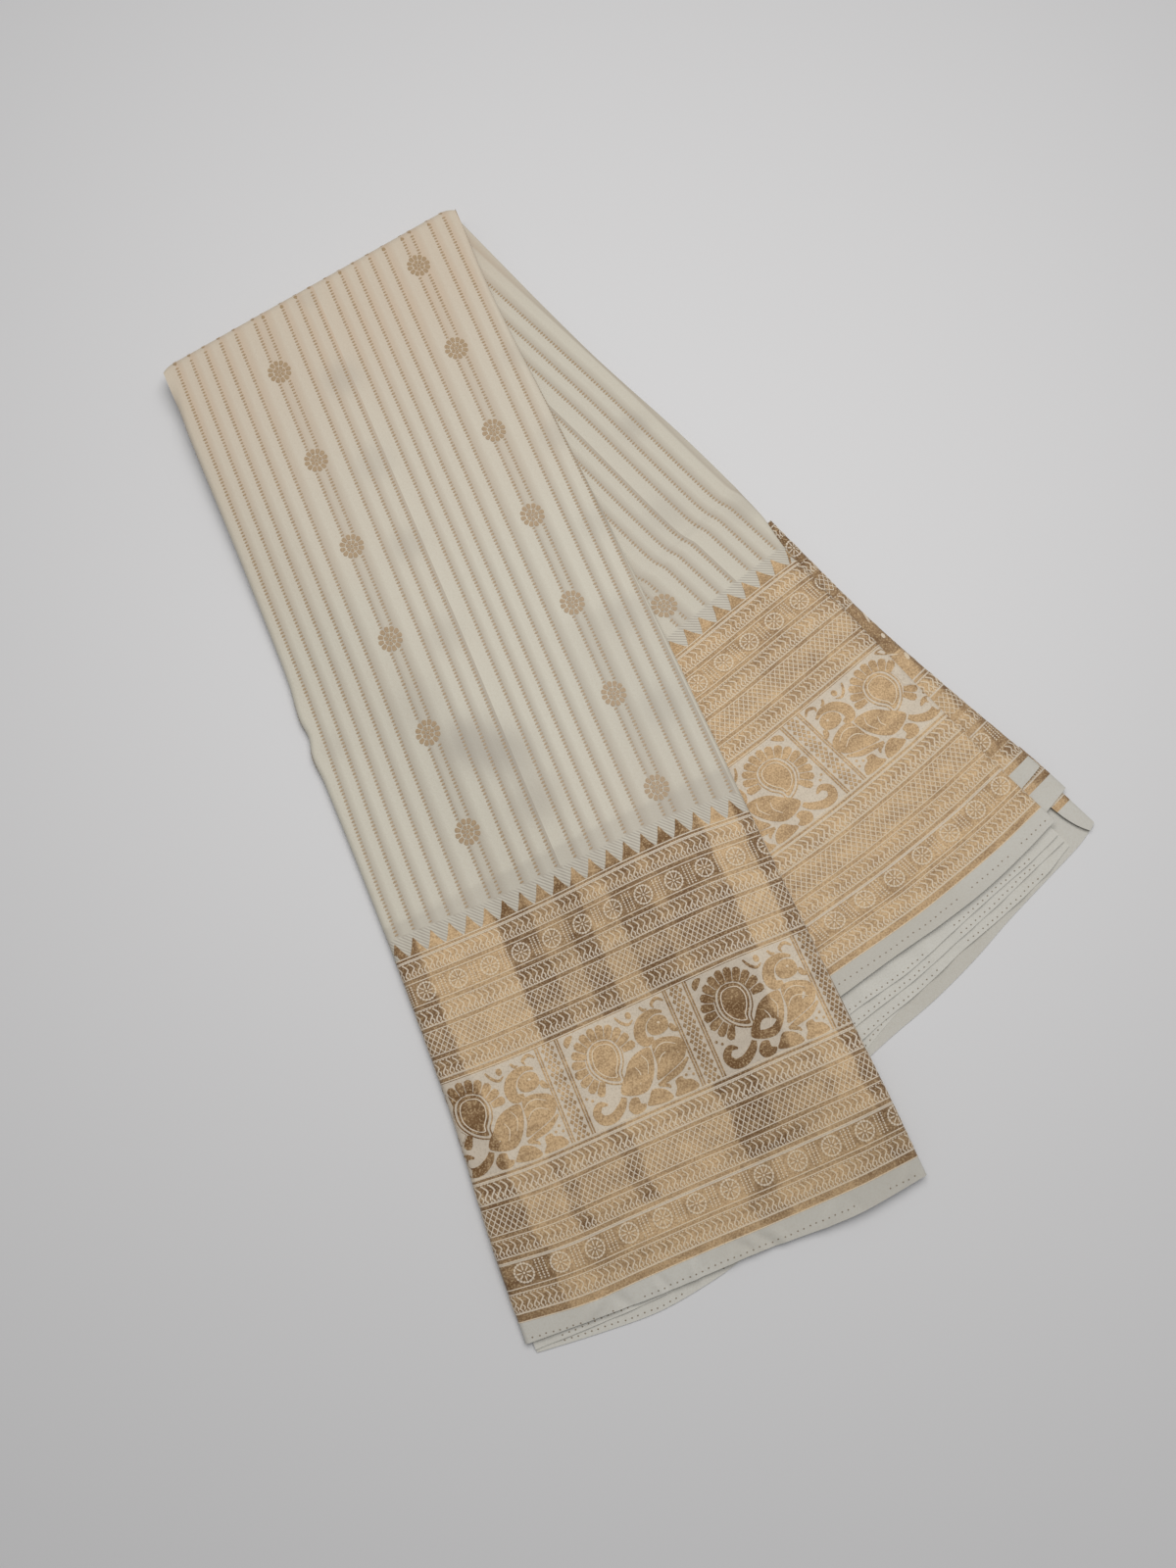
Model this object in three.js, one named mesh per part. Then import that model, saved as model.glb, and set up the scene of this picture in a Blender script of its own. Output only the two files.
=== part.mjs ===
// A crepe saree with wide woven borders, folded into a long flat pile and then once across its
// length. The two arms of the pile are fanned apart and lie on a table. Millimetres, +Z up.
// The origin is on the table, under the middle of the whole pile's box.
//
// Directions on an arm: "across" runs from its left edge to its right edge, and "down" runs from
// the fold at the top to the hems. Both arms measure them from the left end of the fold line.

import * as THREE from "three";

// ---- Driving dimensions ------------------------------------------------------------------------

const CLOTH = 1.2; // wall of the cloth stretches that show
const HEM_CLOTH = 1.0; // wall of an inner layer where its hem end shows
const GAP = 0.3; // clearance between neighbouring layers

const FOLD_LEFT = new THREE.Vector2(-257.9, 204.34); // left end of the fold line at the top
const FRONT_ANGLE = 23.3; // front arm, in degrees from straight towards -Y, turned to +X
const BACK_ANGLE = 44.0; // back arm, likewise

const BACK_CORE = 4.9; // height of the hidden layers in the back arm
const FRONT_CORE = 5.0; // height of the hidden layers in the front arm
const FOLD_REACH = 6.8; // how far the fold bulges past the fold line

const FRONT_CORE_END = 548; // down the front arm, where the hidden layers stop
const BACK_CORE_END = 492; // down the back arm, likewise
const DRAPE = 80; // width of the slope where the front arm comes down from the back arm
const HEM_SINK = 2.6; // how far the front arm's top cloth sinks towards its hem
const HEM_SINK_START = 522; // down the front arm, where that sinking starts
const HEM_SINK_LENGTH = 50;

const WIDTH = 200; // width of the folded pile
const SPINE = 3.25; // radius of the front arm's left edge, where one fold holds all the layers
const SPINE_END = 125; // degrees of that round that the outer cloth covers, from the top
const LIP = 2.4; // radius of the front arm's right edge
const LIP_END = 100; // degrees of that round, from the top
const CORNER_LENGTH = 42; // stretch next to the fold in which the edge rounds flatten out
const CORNER_INSET = 6.5; // the hidden layers stay this far in from the edge at the fold
const CURL = 2.4; // radius of the turned-down right edge of the back arm's top cloth
const CURL_END = 85; // degrees of that round, from the top
const INNER_REACH = 0.6; // how far the innermost hidden layer bulges past the fold line
const FLAP_LEFTS = { front: -4.5, back: 5 }; // left edges of the layers' hem ends
const FLAP_RIGHTS = { front: 200, back: 172.5 };
const FLAP_STEP = 0.4; // each back hem end stops this much short of the one below

// Edges of the front arm: places across, at places down the arm.
const FRONT_EDGES = [
  { down: -40, left: 1.0, right: 197.0 },
  { down: 30, left: 0.5, right: 195.5 },
  { down: 130, left: 1.5, right: 198.5 },
  { down: 230, left: -0.5, right: 201.5 },
  { down: 360, left: 0.5, right: 202.5 },
  { down: 440, left: -1.0, right: 203.5 },
  { down: 500, left: -5.0, right: 204.5 },
  { down: 575, left: -10.0, right: 207.0 },
];

// Ends of the front arm: places down, at places across. "panel" is the outer cloth's own hem.
const FRONT_HEMS = [
  { across: -12, panel: 563.5, layer2: 568.0, layer3: 569.0 },
  { across: 32, panel: 567.0, layer2: 570.0, layer3: 574.5 },
  { across: 60, panel: 569.0, layer2: 570.5, layer3: 576.5 },
  { across: 92, panel: 570.0, layer2: 569.0, layer3: 573.5 },
  { across: 113, panel: 570.5, layer2: 568.0, layer3: 569.5 },
  { across: 162, panel: 573.5, layer2: 569.0, layer3: 568.0 },
  { across: 208, panel: 570.5, layer2: 567.0, layer3: 566.0 },
];

// Right-hand edges of the back arm: "outline" is the outermost fold, "panel" the top cloth's edge.
const BACK_EDGES = [
  { down: 30, outline: 197.5, panel: 197.5 },
  { down: 156, outline: 191.8, panel: 191.8 },
  { down: 237, outline: 192.3, panel: 192.3 },
  { down: 300, outline: 191.6, panel: 189.5 },
  { down: 325, outline: 190.6, panel: 184.5 },
  { down: 385, outline: 188.4, panel: 181.0 },
  { down: 441, outline: 189.6, panel: 177.6 },
  { down: 505, outline: 192.5, panel: 175.2 },
  { down: 560, outline: 192.5, panel: 175.4 },
];

// Ends of the back arm, fanned one past the other. "under" is the cloth that lies on the table.
const BACK_HEMS = [
  { across: 4, panel: 513.0, layer2: 524.0, layer3: 531.0, layer4: 539.0, layer5: 546.8, under: 548.0 },
  { across: 30, panel: 517.2, layer2: 527.5, layer3: 534.0, layer4: 541.0, layer5: 543.7, under: 549.6 },
  { across: 60, panel: 522.0, layer2: 532.8, layer3: 538.0, layer4: 544.2, layer5: 543.5, under: 552.4 },
  { across: 90, panel: 527.5, layer2: 534.7, layer3: 540.0, layer4: 545.4, layer5: 543.6, under: 553.0 },
  { across: 120, panel: 531.4, layer2: 536.5, layer3: 542.0, layer4: 548.2, layer5: 545.0, under: 551.8 },
  { across: 150, panel: 532.7, layer2: 538.8, layer3: 543.0, layer4: 549.4, layer5: 546.0, under: 551.6 },
  { across: 176, panel: 532.4, layer2: 539.2, layer3: 544.0, layer4: 547.5, layer5: 546.0, under: 551.4 },
  { across: 190, panel: 532.4, layer2: 539.2, layer3: 544.0, layer4: 547.5, layer5: 546.0, under: 549.8 },
];

// The pleats that fan out of the back arm's right edge: nested folds, each ending lower down.
// "inner" and "outer" are places past the top cloth's edge and past the outline.
const PLEATS = [
  { number: 1, start: 306, end: 508, inner: -1.0, outer: 0.0, valley: 5.3, crest: 6.6, nose: 4.9 },
  { number: 2, start: 492.6, end: 526, inner: -1.0, outer: 1.4, valley: 3.9, crest: 4.0, nose: 3.4 },
  { number: 3, start: 492.6, end: 549, inner: 3.0, outer: -1.5, valley: 2.6, crest: 2.65, nose: 2.4 },
];

// Folds of the hidden layers that show as ridges on the right-hand edges: share of the height,
// how far each reaches out past its neighbours, and its wave along the arm.
const RIDGES = [
  { height: 0.48, reach: 0.9, wave: 0.5, length: 190 },
  { height: 0.28, reach: 1.5, wave: 0.6, length: 260 },
  { height: 0.1, reach: 0.6, wave: 0.4, length: 150 },
];
const VALLEY = 0.08; // half the height from a ridge to the valley beside it, as a share
const VALLEY_INSET = 2.2; // how far a valley stays in from the edge
const SIDE_SHARES = [0.56, 0.48, 0.38, 0.28, 0.19, 0.1, 0.03];

// The hidden layers' shoulder inside the right-hand lip: inset from the edge, share of the height.
const SHOULDER = [
  { inset: 2.4, height: 1.0 },
  { inset: 2.0, height: 0.93 },
  { inset: 1.75, height: 0.8 },
];

// The hidden layers' left side inside the spine: reach as a share of its radius, share of the height.
const SPINE_SIDE = [
  { reach: 0.66, height: 0.0 },
  { reach: 0.7, height: 0.12 },
  { reach: 0.68, height: 0.36 },
  { reach: 0.95, height: 0.6 },
  { reach: 0.72, height: 0.86 },
  { reach: 0.3, height: 0.975 },
];

// The back arm's right side is stepped: its upper layers stop at the top cloth's edge, and its
// lower ones at the outline. The step's place is a share of the height from the table.
const STEP_START = 0.36;
const STEP_LENGTH = 0.1;

// ---- Heights of the pile, from the table up ----------------------------------------------------

const BACK_BOTTOM = CLOTH + GAP; // underside of the back arm's hidden layers
const BACK_CORE_TOP = BACK_BOTTOM + BACK_CORE;
const BACK_TOP = BACK_CORE_TOP + GAP + CLOTH; // top of the back arm
const LIFT = BACK_TOP + GAP; // underside of the front arm where it lies on the back arm
const FRONT_HEIGHT = FRONT_CORE + GAP + CLOTH; // the front arm's own height
const TOP = LIFT + FRONT_HEIGHT; // top of the pile

// ---- Small helpers -----------------------------------------------------------------------------

const radians = THREE.MathUtils.degToRad;
const clamp = THREE.MathUtils.clamp;
const lerp = THREE.MathUtils.lerp;
const smooth = (x) => THREE.MathUtils.smoothstep(x, 0, 1);
const steps = (count) => Array.from({ length: count + 1 }, (_, i) => i / count);

const HALF_FAN = radians((BACK_ANGLE - FRONT_ANGLE) / 2); // the fold line halves the fan
const FAN = 2 * HALF_FAN;
const FOLD_ANGLE = radians((BACK_ANGLE + FRONT_ANGLE) / 2);

// A table's column at a place, on straight lines between the rows.
function look(table, key, column, place) {
  const last = table.length - 1;
  const found = table.findIndex((row) => row[key] > place);
  const i = found < 0 ? last : Math.max(found, 1);
  const [a, b] = [table[i - 1], table[i]];
  return lerp(a[column], b[column], clamp((place - a[key]) / (b[key] - a[key]), 0, 1));
}

// A point of an arm that is turned by an angle, from its place across, down and up.
function onArm(angle, across, down, up) {
  const [c, s] = [Math.cos(angle), Math.sin(angle)];
  const x = FOLD_LEFT.x + across * c + down * s;
  const y = FOLD_LEFT.y + across * s - down * c;
  return new THREE.Vector3(x, y, up);
}
const onFront = (across, down, up) => onArm(radians(FRONT_ANGLE), across, down, up);
const onBack = (across, down, up) => onArm(radians(BACK_ANGLE), across, down, up);

// A point of the bend over the fold line: turn 0 is the front arm, turn PI the back arm.
function onBend(across, turn, middle, radius, reach) {
  const along = across / Math.cos(HALF_FAN);
  const out = reach * Math.sin(turn);
  const x = FOLD_LEFT.x + along * Math.cos(FOLD_ANGLE) - out * Math.sin(FOLD_ANGLE);
  const y = FOLD_LEFT.y + along * Math.sin(FOLD_ANGLE) + out * Math.cos(FOLD_ANGLE);
  return new THREE.Vector3(x, y, middle + radius * Math.cos(turn));
}

// The place across of a point on the fold line.
function alongFold(p) {
  const [x, y] = [p.x - FOLD_LEFT.x, p.y - FOLD_LEFT.y];
  return (x * Math.cos(FOLD_ANGLE) + y * Math.sin(FOLD_ANGLE)) * Math.cos(HALF_FAN);
}

// Rows across an arm start on the slanted fold line and straighten towards the hem.
const frontDown = (across, row) => row - across * Math.tan(HALF_FAN) * (1 - row / FRONT_CORE_END);
const backDown = (across, row) => row + across * Math.tan(HALF_FAN) * (1 - row / BACK_CORE_END);

// Height of what the front arm lies on: the back arm, a slope beside it, or the table.
function rest(across, down) {
  const besideBack = down * Math.sin(FAN) - across * Math.cos(FAN);
  const pastBack = across * Math.sin(FAN) + down * Math.cos(FAN) - BACK_HEMS[3].under;
  return LIFT * (1 - smooth(Math.max(besideBack, pastBack) / DRAPE));
}

const frontSink = (down) => HEM_SINK * smooth((down - HEM_SINK_START) / HEM_SINK_LENGTH);
const frontEdge = (side, down) => look(FRONT_EDGES, "down", side, down);
const backEdge = (side, down) => look(BACK_EDGES, "down", side, down);

// How much of the edge rounds is there: none at the fold line, all of it further down.
const rounding = (row) => smooth(row / CORNER_LENGTH);

// Places across a row of the front arm. Some follow the back arm's edge below, so that the slope
// beside it is the same on every layer.
const LIP_SIDE = 6; // the last place is this far in from the lip
const SPARE = 0.4; // least distance between two places
const SLOPE_PLACES = [-1.0, -0.8, -0.6, -0.4, -0.2, 0, 0.06];
function frontColumns(row) {
  const slant = Math.tan(HALF_FAN) * (1 - row / FRONT_CORE_END);
  const ridge = (row * Math.tan(FAN)) / (1 + slant * Math.tan(FAN));
  const left = frontEdge("left", row) + CORNER_INSET + 1;
  const right = frontEdge("right", row) - LIP - LIP_SIDE;
  const slope = SLOPE_PLACES.map((place) => ridge + (place * DRAPE) / Math.cos(FAN));
  const all = [left, lerp(left, slope[0], 0.5), ...slope];
  all.push(lerp(slope[6], right, 0.33), lerp(slope[6], right, 0.66), right);
  return all.map((s, i) => clamp(s, left + SPARE * i, right - SPARE * (all.length - 1 - i)));
}

// ---- Mesh builders -----------------------------------------------------------------------------

function material(color, roughness, metalness) {
  return new THREE.MeshStandardMaterial({ color, roughness, metalness });
}
const FIELD = material(0xd8d0bd, 0.6, 0.0);
const ZARI = material(0xc9a878, 0.45, 0.3);
const SELVAGE = material(0xd5d2c8, 0.6, 0.0);

function meshOf(name, points, triangles, finish) {
  const geometry = new THREE.BufferGeometry().setFromPoints(points);
  geometry.setIndex(triangles);
  geometry.computeVertexNormals();
  const mesh = new THREE.Mesh(geometry, finish);
  mesh.name = name;
  return mesh;
}

// Joins a row of points to the next one up, with two triangles for each cell.
function strip(triangles, a, b, count, closed) {
  for (let i = 0; i < (closed ? count : count - 1); i++) {
    const j = (i + 1) % count;
    triangles.push(a + i, b + j, b + i, a + i, a + j, b + j);
  }
}

// A wall of cloth: rows of points on its outer face, each row given from left to right and the
// rows from the hem up, and the inner face moved in along the normals.
function wall(name, rows, thickness, finish) {
  const [count, width] = [rows.length, rows[0].length];
  const outer = rows.flat();
  const triangles = [];
  for (let r = 0; r + 1 < count; r++) strip(triangles, r * width, (r + 1) * width, width, false);
  const probe = new THREE.BufferGeometry().setFromPoints(outer);
  probe.setIndex([...triangles]);
  probe.computeVertexNormals();
  const normals = probe.getAttribute("normal");
  const inner = outer.map((p, i) => {
    const n = new THREE.Vector3().fromBufferAttribute(normals, i);
    return p.clone().addScaledVector(n, -thickness);
  });
  const size = outer.length;
  for (const k of [...triangles].reverse()) triangles.push(k + size);
  const rim = [];
  for (let i = 0; i < width; i++) rim.push(i);
  for (let r = 1; r < count; r++) rim.push(r * width + width - 1);
  for (let i = width - 2; i >= 0; i--) rim.push((count - 1) * width + i);
  for (let r = count - 2; r > 0; r--) rim.push(r * width);
  rim.forEach((a, i) => {
    const b = rim[(i + 1) % rim.length];
    triangles.push(a, a + size, b + size, a, b + size, b);
  });
  return meshOf(name, [...outer, ...inner], triangles, finish);
}

// A solid through closed rings of points. A ring runs along its top from left to right, down the
// right side, back along its bottom and up the left side, with "columns" points along the top and
// as many below them. Each end is closed through a row of points half-way between the two.
function loft(name, rings, columns, sidePoints, finish) {
  const width = rings[0].length;
  const points = rings.flat();
  const triangles = [];
  for (let r = 0; r + 1 < rings.length; r++) strip(triangles, r * width, (r + 1) * width, width, true);
  const close = (r) => {
    const [start, middle] = [r * width, points.length];
    const below = (i) => 2 * columns + sidePoints - 1 - i;
    const faces = [];
    for (let i = 0; i < columns; i++) points.push(rings[r][i].clone().lerp(rings[r][below(i)], 0.5));
    const fan = (from, to, pivot) => {
      for (let k = from; k < to; k++) faces.push([start + k, start + ((k + 1) % width), middle + pivot]);
    };
    for (let i = 0; i + 1 < columns; i++) {
      fan(i, i + 1, i);
      faces.push([start + i + 1, middle + i + 1, middle + i]);
      fan(below(i + 1), below(i), i);
      faces.push([start + below(i + 1), middle + i, middle + i + 1]);
    }
    fan(columns - 1, below(columns - 1), columns - 1);
    fan(below(0), width, 0);
    return faces;
  };
  for (const [a, b, c] of close(0)) triangles.push(b, a, c);
  for (const face of close(rings.length - 1)) triangles.push(...face);
  return meshOf(name, points, triangles, finish);
}

// ---- Rows down the arms ------------------------------------------------------------------------

const FRONT_ROWS = [0, 9, 20, 31, 42, 80, 130, 190, 250, 310, 365, 410, 450, 485, 512, 524, 536, 548];
const BACK_ROWS = [0, 60, 156, 237, 300, 325, 385, 441, 470, 492];
const BEND_TURNS = steps(8).map((share) => share * Math.PI);

// ---- The outer stretch: front arm, over the fold, and under the back arm -----------------------

// Offsets of the left-hand round from the edge, and the flat places they take at the fold.
const SPINE_STEPS = steps(5).reverse();
const LIP_STEPS = steps(3);
const FOLD_LIP = 0.3; // depth of the right edge's round at the fold line, as a share

function frontRow(row, hem) {
  const round = rounding(row);
  const columns = frontColumns(row);
  const downAt = (s) => (hem ? look(FRONT_HEMS, "across", "panel", s) : frontDown(s, row));
  const top = (s) => rest(s, downAt(s)) + FRONT_HEIGHT - frontSink(downAt(s));
  const left = frontEdge("left", downAt(0));
  const right = frontEdge("right", downAt(WIDTH));
  const height = FRONT_HEIGHT - frontSink(downAt(WIDTH / 2));
  const low = Math.min(1, height / (2 * SPINE)); // the rounds shrink with the pile at the hem
  const points = [];
  for (const share of SPINE_STEPS) {
    const turn = radians(share * SPINE_END);
    const s = lerp(left + CORNER_INSET * (1 - share), left + SPINE - SPINE * low * Math.sin(turn), round);
    points.push([s, top(s) - SPINE * low * (1 - Math.cos(turn)) * round]);
  }
  for (const s of columns) points.push([s, top(s)]);
  for (const share of LIP_STEPS) {
    const turn = radians(share * LIP_END);
    const s = right - LIP + LIP * Math.sin(turn);
    points.push([s, top(s) - LIP * low * (1 - Math.cos(turn)) * lerp(FOLD_LIP, 1, round)]);
  }
  return points.map(([s, up]) => onFront(s, downAt(s), up));
}

function outerStretch() {
  const rows = [frontRow(FRONT_CORE_END, true)];
  for (const row of [...FRONT_ROWS].reverse()) rows.push(frontRow(row, false));
  const places = placesAlongFold();
  for (const turn of BEND_TURNS.slice(1)) {
    rows.push(places.map((s) => onBend(s, turn, TOP / 2, TOP / 2, FOLD_REACH)));
  }
  for (const row of BACK_ROWS.slice(1)) rows.push(underRow(places, (s) => backDown(s, row)));
  rows.push(underRow(places, (s) => look(BACK_HEMS, "across", "under", s)));
  return wall("outer_stretch", rows, CLOTH, FIELD);
}

// Where the front row's points meet the fold line, as places across.
const placesAlongFold = () => frontRow(0, false).map(alongFold);

const UNDER_INSET = 2; // how far the cloth on the table stays in from the back arm's outline

// A row of the cloth that lies on the table. It narrows to the back arm's outline.
function underRow(places, downOf) {
  const [first, last] = [places[0], places.at(-1)];
  return places.map((place) => {
    const share = (place - first) / (last - first);
    const right = backEdge("outline", downOf(last)) - UNDER_INSET;
    const s = lerp(UNDER_INSET + 1, right, share);
    return onBack(s, downOf(s), 0);
  });
}

// ---- The hidden layers of both arms, as one bent solid with layered edges ----------------------

// How far the right-hand side reaches in from the arm's edge, at a share of the height.
function ridgeInset(share, down) {
  const nearest = RIDGES.reduce((a, b) => (Math.abs(b.height - share) < Math.abs(a.height - share) ? b : a));
  const offset = Math.abs(nearest.height - share) / VALLEY;
  const wave = nearest.wave * Math.sin((2 * Math.PI * down) / nearest.length);
  return VALLEY_INSET - (nearest.reach + wave) * clamp(1 - offset * offset, 0, 1);
}

function frontCoreRing(row) {
  const round = rounding(row);
  const columns = frontColumns(row);
  const downAt = (s) => frontDown(s, row);
  const left = frontEdge("left", downAt(0));
  const right = frontEdge("right", downAt(WIDTH));
  const bottom = (s) => rest(s, downAt(s));
  const height = FRONT_CORE - frontSink(row);
  const low = height / FRONT_CORE;
  const inner = SPINE * low - CLOTH - GAP;
  const points = columns.map((s) => [s, 1]);
  for (const { inset, height: share } of SHOULDER) points.push([right - lerp(LIP, inset, round), share]);
  for (const share of SIDE_SHARES) points.push([right - lerp(LIP, ridgeInset(share, row), round), share]);
  for (const s of [...columns].reverse()) points.push([s, 0]);
  for (const { reach, height: share } of SPINE_SIDE) {
    points.push([left + lerp(CORNER_INSET, SPINE - reach * inner, round), share]);
  }
  return points.map(([s, share]) => onFront(s, downAt(s), bottom(s) + share * height));
}

// The fold line's ring of points: places across, and shares of the height from its inner side.
function foldPlaces() {
  return frontCoreRing(0).map((p) => [alongFold(p), (p.z - LIFT) / FRONT_CORE]);
}

// The bend carries the fold line's ring of points round, from the front arm to the back arm.
function bendRing(turn) {
  return foldPlaces().map(([across, share]) => {
    const middle = lerp((LIFT + BACK_CORE_TOP) / 2, TOP / 2, share);
    const radius = lerp((LIFT - BACK_CORE_TOP) / 2, TOP / 2 - CLOTH - GAP, share);
    const reach = lerp(INNER_REACH, FOLD_REACH - CLOTH - GAP, share);
    return onBend(across, turn, middle, radius, reach);
  });
}

const BACK_LEFT = 6; // left side of the back arm's hidden layers
const BACK_INSETS = { panel: 3, outline: 2.5, flat: 7 }; // how far they stay in from each edge

function backCoreRing(row) {
  const straight = rounding(row);
  const places = foldPlaces();
  const count = frontColumns(0).length;
  const downAt = (s) => backDown(s, row);
  const panel = backEdge("panel", downAt(WIDTH));
  const outline = backEdge("outline", downAt(WIDTH));
  const [first, last] = [CORNER_INSET + 1, places[count - 1][0]];
  return places.map(([across, share], i) => {
    const onSide = i >= count && i < count + SHOULDER.length + SIDE_SHARES.length;
    const depth = 1 - share; // 1 at the top of the back arm, 0 at its underside
    const upper = smooth((depth - STEP_START) / STEP_LENGTH);
    const edge = lerp(outline - BACK_INSETS.outline, panel - BACK_INSETS.panel, upper);
    const side = edge - ridgeInset(depth / 2, row) + RIDGES[1].reach;
    const flat = lerp(BACK_LEFT, panel - BACK_INSETS.flat, (across - first) / (last - first));
    const s = lerp(across, onSide ? side : flat, straight);
    return onBack(s, downAt(s), BACK_CORE_TOP - share * BACK_CORE);
  });
}

function foldedCore() {
  const rings = [...FRONT_ROWS].reverse().map(frontCoreRing);
  for (const turn of BEND_TURNS.slice(1)) rings.push(bendRing(turn));
  for (const row of BACK_ROWS.slice(1)) rings.push(backCoreRing(row));
  const sidePoints = SHOULDER.length + SIDE_SHARES.length;
  return loft("folded_core", rings, frontColumns(0).length, sidePoints, SELVAGE);
}

// ---- The inner stretch: the top cloth of the back arm ------------------------------------------

const CURL_DEPTH = 0.6; // depth of that edge's round, as a share of its radius
const TOP_START = 3; // the top cloth starts this far down from the fold line

function backRow(downOf) {
  const right = backEdge("panel", downOf(WIDTH));
  const points = steps(15).map((share) => [lerp(FLAP_LEFTS.back, right - CURL - 1, share), 0]);
  for (const share of LIP_STEPS) {
    const turn = radians(share * CURL_END);
    points.push([right - CURL + CURL * Math.sin(turn), CURL * (1 - Math.cos(turn)) * CURL_DEPTH]);
  }
  return points.map(([s, drop]) => onBack(s, downOf(s), BACK_TOP - drop));
}

function innerStretch() {
  const rows = [backRow((s) => look(BACK_HEMS, "across", "panel", s))];
  for (const row of [...BACK_ROWS].reverse()) {
    rows.push(backRow((s) => Math.max(backDown(s, row), backDown(s, 0) + TOP_START)));
  }
  return wall("inner_stretch", rows, CLOTH, FIELD);
}

// ---- Hem ends of the layers between ------------------------------------------------------------

// A flat flap of cloth from where the hidden layers stop to its own hem.
function flap(name, place, up, left, right, startOf, hemOf) {
  const rows = [...steps(2)].reverse().map((share) =>
    steps(10).map((part) => {
      const s = lerp(left, right, part);
      return place(s, lerp(startOf(s), hemOf(s), share), up + HEM_CLOTH);
    }),
  );
  return wall(name, rows, HEM_CLOTH, SELVAGE);
}

const layerHeight = (level) => level * (HEM_CLOTH + GAP);

function frontFlaps() {
  const start = () => FRONT_CORE_END + GAP;
  return ["layer3", "layer2"].map((layer, level) => {
    const hem = (s) => look(FRONT_HEMS, "across", layer, s);
    const [left, right] = [FLAP_LEFTS.front, FLAP_RIGHTS.front];
    return flap("front_" + layer, onFront, layerHeight(level), left, right, start, hem);
  });
}

function backFlaps() {
  const start = () => BACK_CORE_END + 2 * GAP;
  return ["layer5", "layer4", "layer3", "layer2"].map((layer, level) => {
    const hem = (s) => look(BACK_HEMS, "across", layer, s);
    const [left, right] = [FLAP_LEFTS.back, FLAP_RIGHTS.back - FLAP_STEP * level];
    return flap("back_" + layer, onBack, BACK_BOTTOM + layerHeight(level), left, right, start, hem);
  });
}

// ---- Pleats at the back arm's right edge -------------------------------------------------------

// A pleat rises from beside the top cloth's edge to a rounded crest and turns down at its nose.
const PLEAT_SHAPE = [
  { out: 0.0, rise: 0.0, fall: 0.0 },
  { out: 0.2, rise: 0.35, fall: 0.0 },
  { out: 0.42, rise: 0.9, fall: 0.0 },
  { out: 0.62, rise: 1.0, fall: 0.0 },
  { out: 0.82, rise: 0.8, fall: 0.1 },
  { out: 0.96, rise: 0.35, fall: 0.5 },
  { out: 1.0, rise: 0.0, fall: 1.0 },
];

const LEAST_PLEAT = 4; // a pleat is at least this wide where it starts

function pleat({ number, start, end, inner, outer, valley, crest, nose }) {
  const rows = [...steps(8)].reverse().map((share) => {
    const down = lerp(start, end, share);
    const from = backEdge("panel", down) + inner;
    const to = Math.max(backEdge("outline", down) + outer, from + LEAST_PLEAT);
    return PLEAT_SHAPE.map(({ out, rise, fall }) => {
      const up = valley + (crest - valley) * rise - (valley - nose) * fall;
      return onBack(lerp(from, to, out), down, up);
    });
  });
  return wall("back_pleat_" + number, rows, HEM_CLOTH, ZARI);
}

// ---- The whole saree ---------------------------------------------------------------------------

const saree = new THREE.Group();
saree.name = "folded_crepe_saree";
saree.add(outerStretch(), foldedCore(), innerStretch());
saree.add(...frontFlaps(), ...backFlaps(), ...PLEATS.map(pleat));

export default saree;
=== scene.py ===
"""A folded crepe saree with wide zari borders: its cloth, its folded layers and its woven gold.

Each arm of the pile is drawn in its own places: "across" runs from its left edge to its right
edge, "down" runs from the fold at the top to the hems. Lengths are in millimetres until a mesh
is made. The weave is drawn flat on a second pair of places, across and down the cloth itself,
which the cloth's UV map "weave" holds, and is then laid on the cloth.
"""

import math
import random

import bpy
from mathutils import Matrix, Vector


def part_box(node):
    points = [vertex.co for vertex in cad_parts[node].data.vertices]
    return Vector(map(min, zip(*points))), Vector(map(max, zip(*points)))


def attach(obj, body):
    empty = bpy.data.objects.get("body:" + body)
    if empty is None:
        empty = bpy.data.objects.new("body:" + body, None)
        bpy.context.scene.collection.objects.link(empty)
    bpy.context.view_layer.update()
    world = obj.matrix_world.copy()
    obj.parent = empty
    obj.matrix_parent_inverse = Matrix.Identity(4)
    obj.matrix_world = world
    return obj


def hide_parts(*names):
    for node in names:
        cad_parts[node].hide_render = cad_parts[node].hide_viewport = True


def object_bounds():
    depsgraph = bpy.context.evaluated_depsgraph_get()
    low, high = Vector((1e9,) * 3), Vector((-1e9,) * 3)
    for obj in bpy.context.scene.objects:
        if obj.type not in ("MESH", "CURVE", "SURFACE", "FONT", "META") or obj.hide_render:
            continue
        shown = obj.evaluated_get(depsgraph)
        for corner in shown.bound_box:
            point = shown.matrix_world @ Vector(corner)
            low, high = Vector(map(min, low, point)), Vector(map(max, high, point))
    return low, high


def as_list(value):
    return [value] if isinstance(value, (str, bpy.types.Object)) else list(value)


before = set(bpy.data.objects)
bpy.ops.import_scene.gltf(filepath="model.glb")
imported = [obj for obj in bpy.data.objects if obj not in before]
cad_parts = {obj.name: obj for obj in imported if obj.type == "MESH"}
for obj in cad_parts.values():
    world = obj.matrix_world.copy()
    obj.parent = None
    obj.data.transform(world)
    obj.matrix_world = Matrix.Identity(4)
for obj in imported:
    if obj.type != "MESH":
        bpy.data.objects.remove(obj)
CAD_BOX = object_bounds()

bl_info = {
    "name": "Folded crepe saree",
    "version": (1, 0, 0),
    "blender": (4, 5, 0),
    "location": "View3D > Sidebar > Saree",
    "description": "Builds a folded saree with woven zari borders around its packed frame",
    "category": "Object",
}

MM = 0.001
BODY = "root"

# ---- The pile, in millimetres ----

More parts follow.
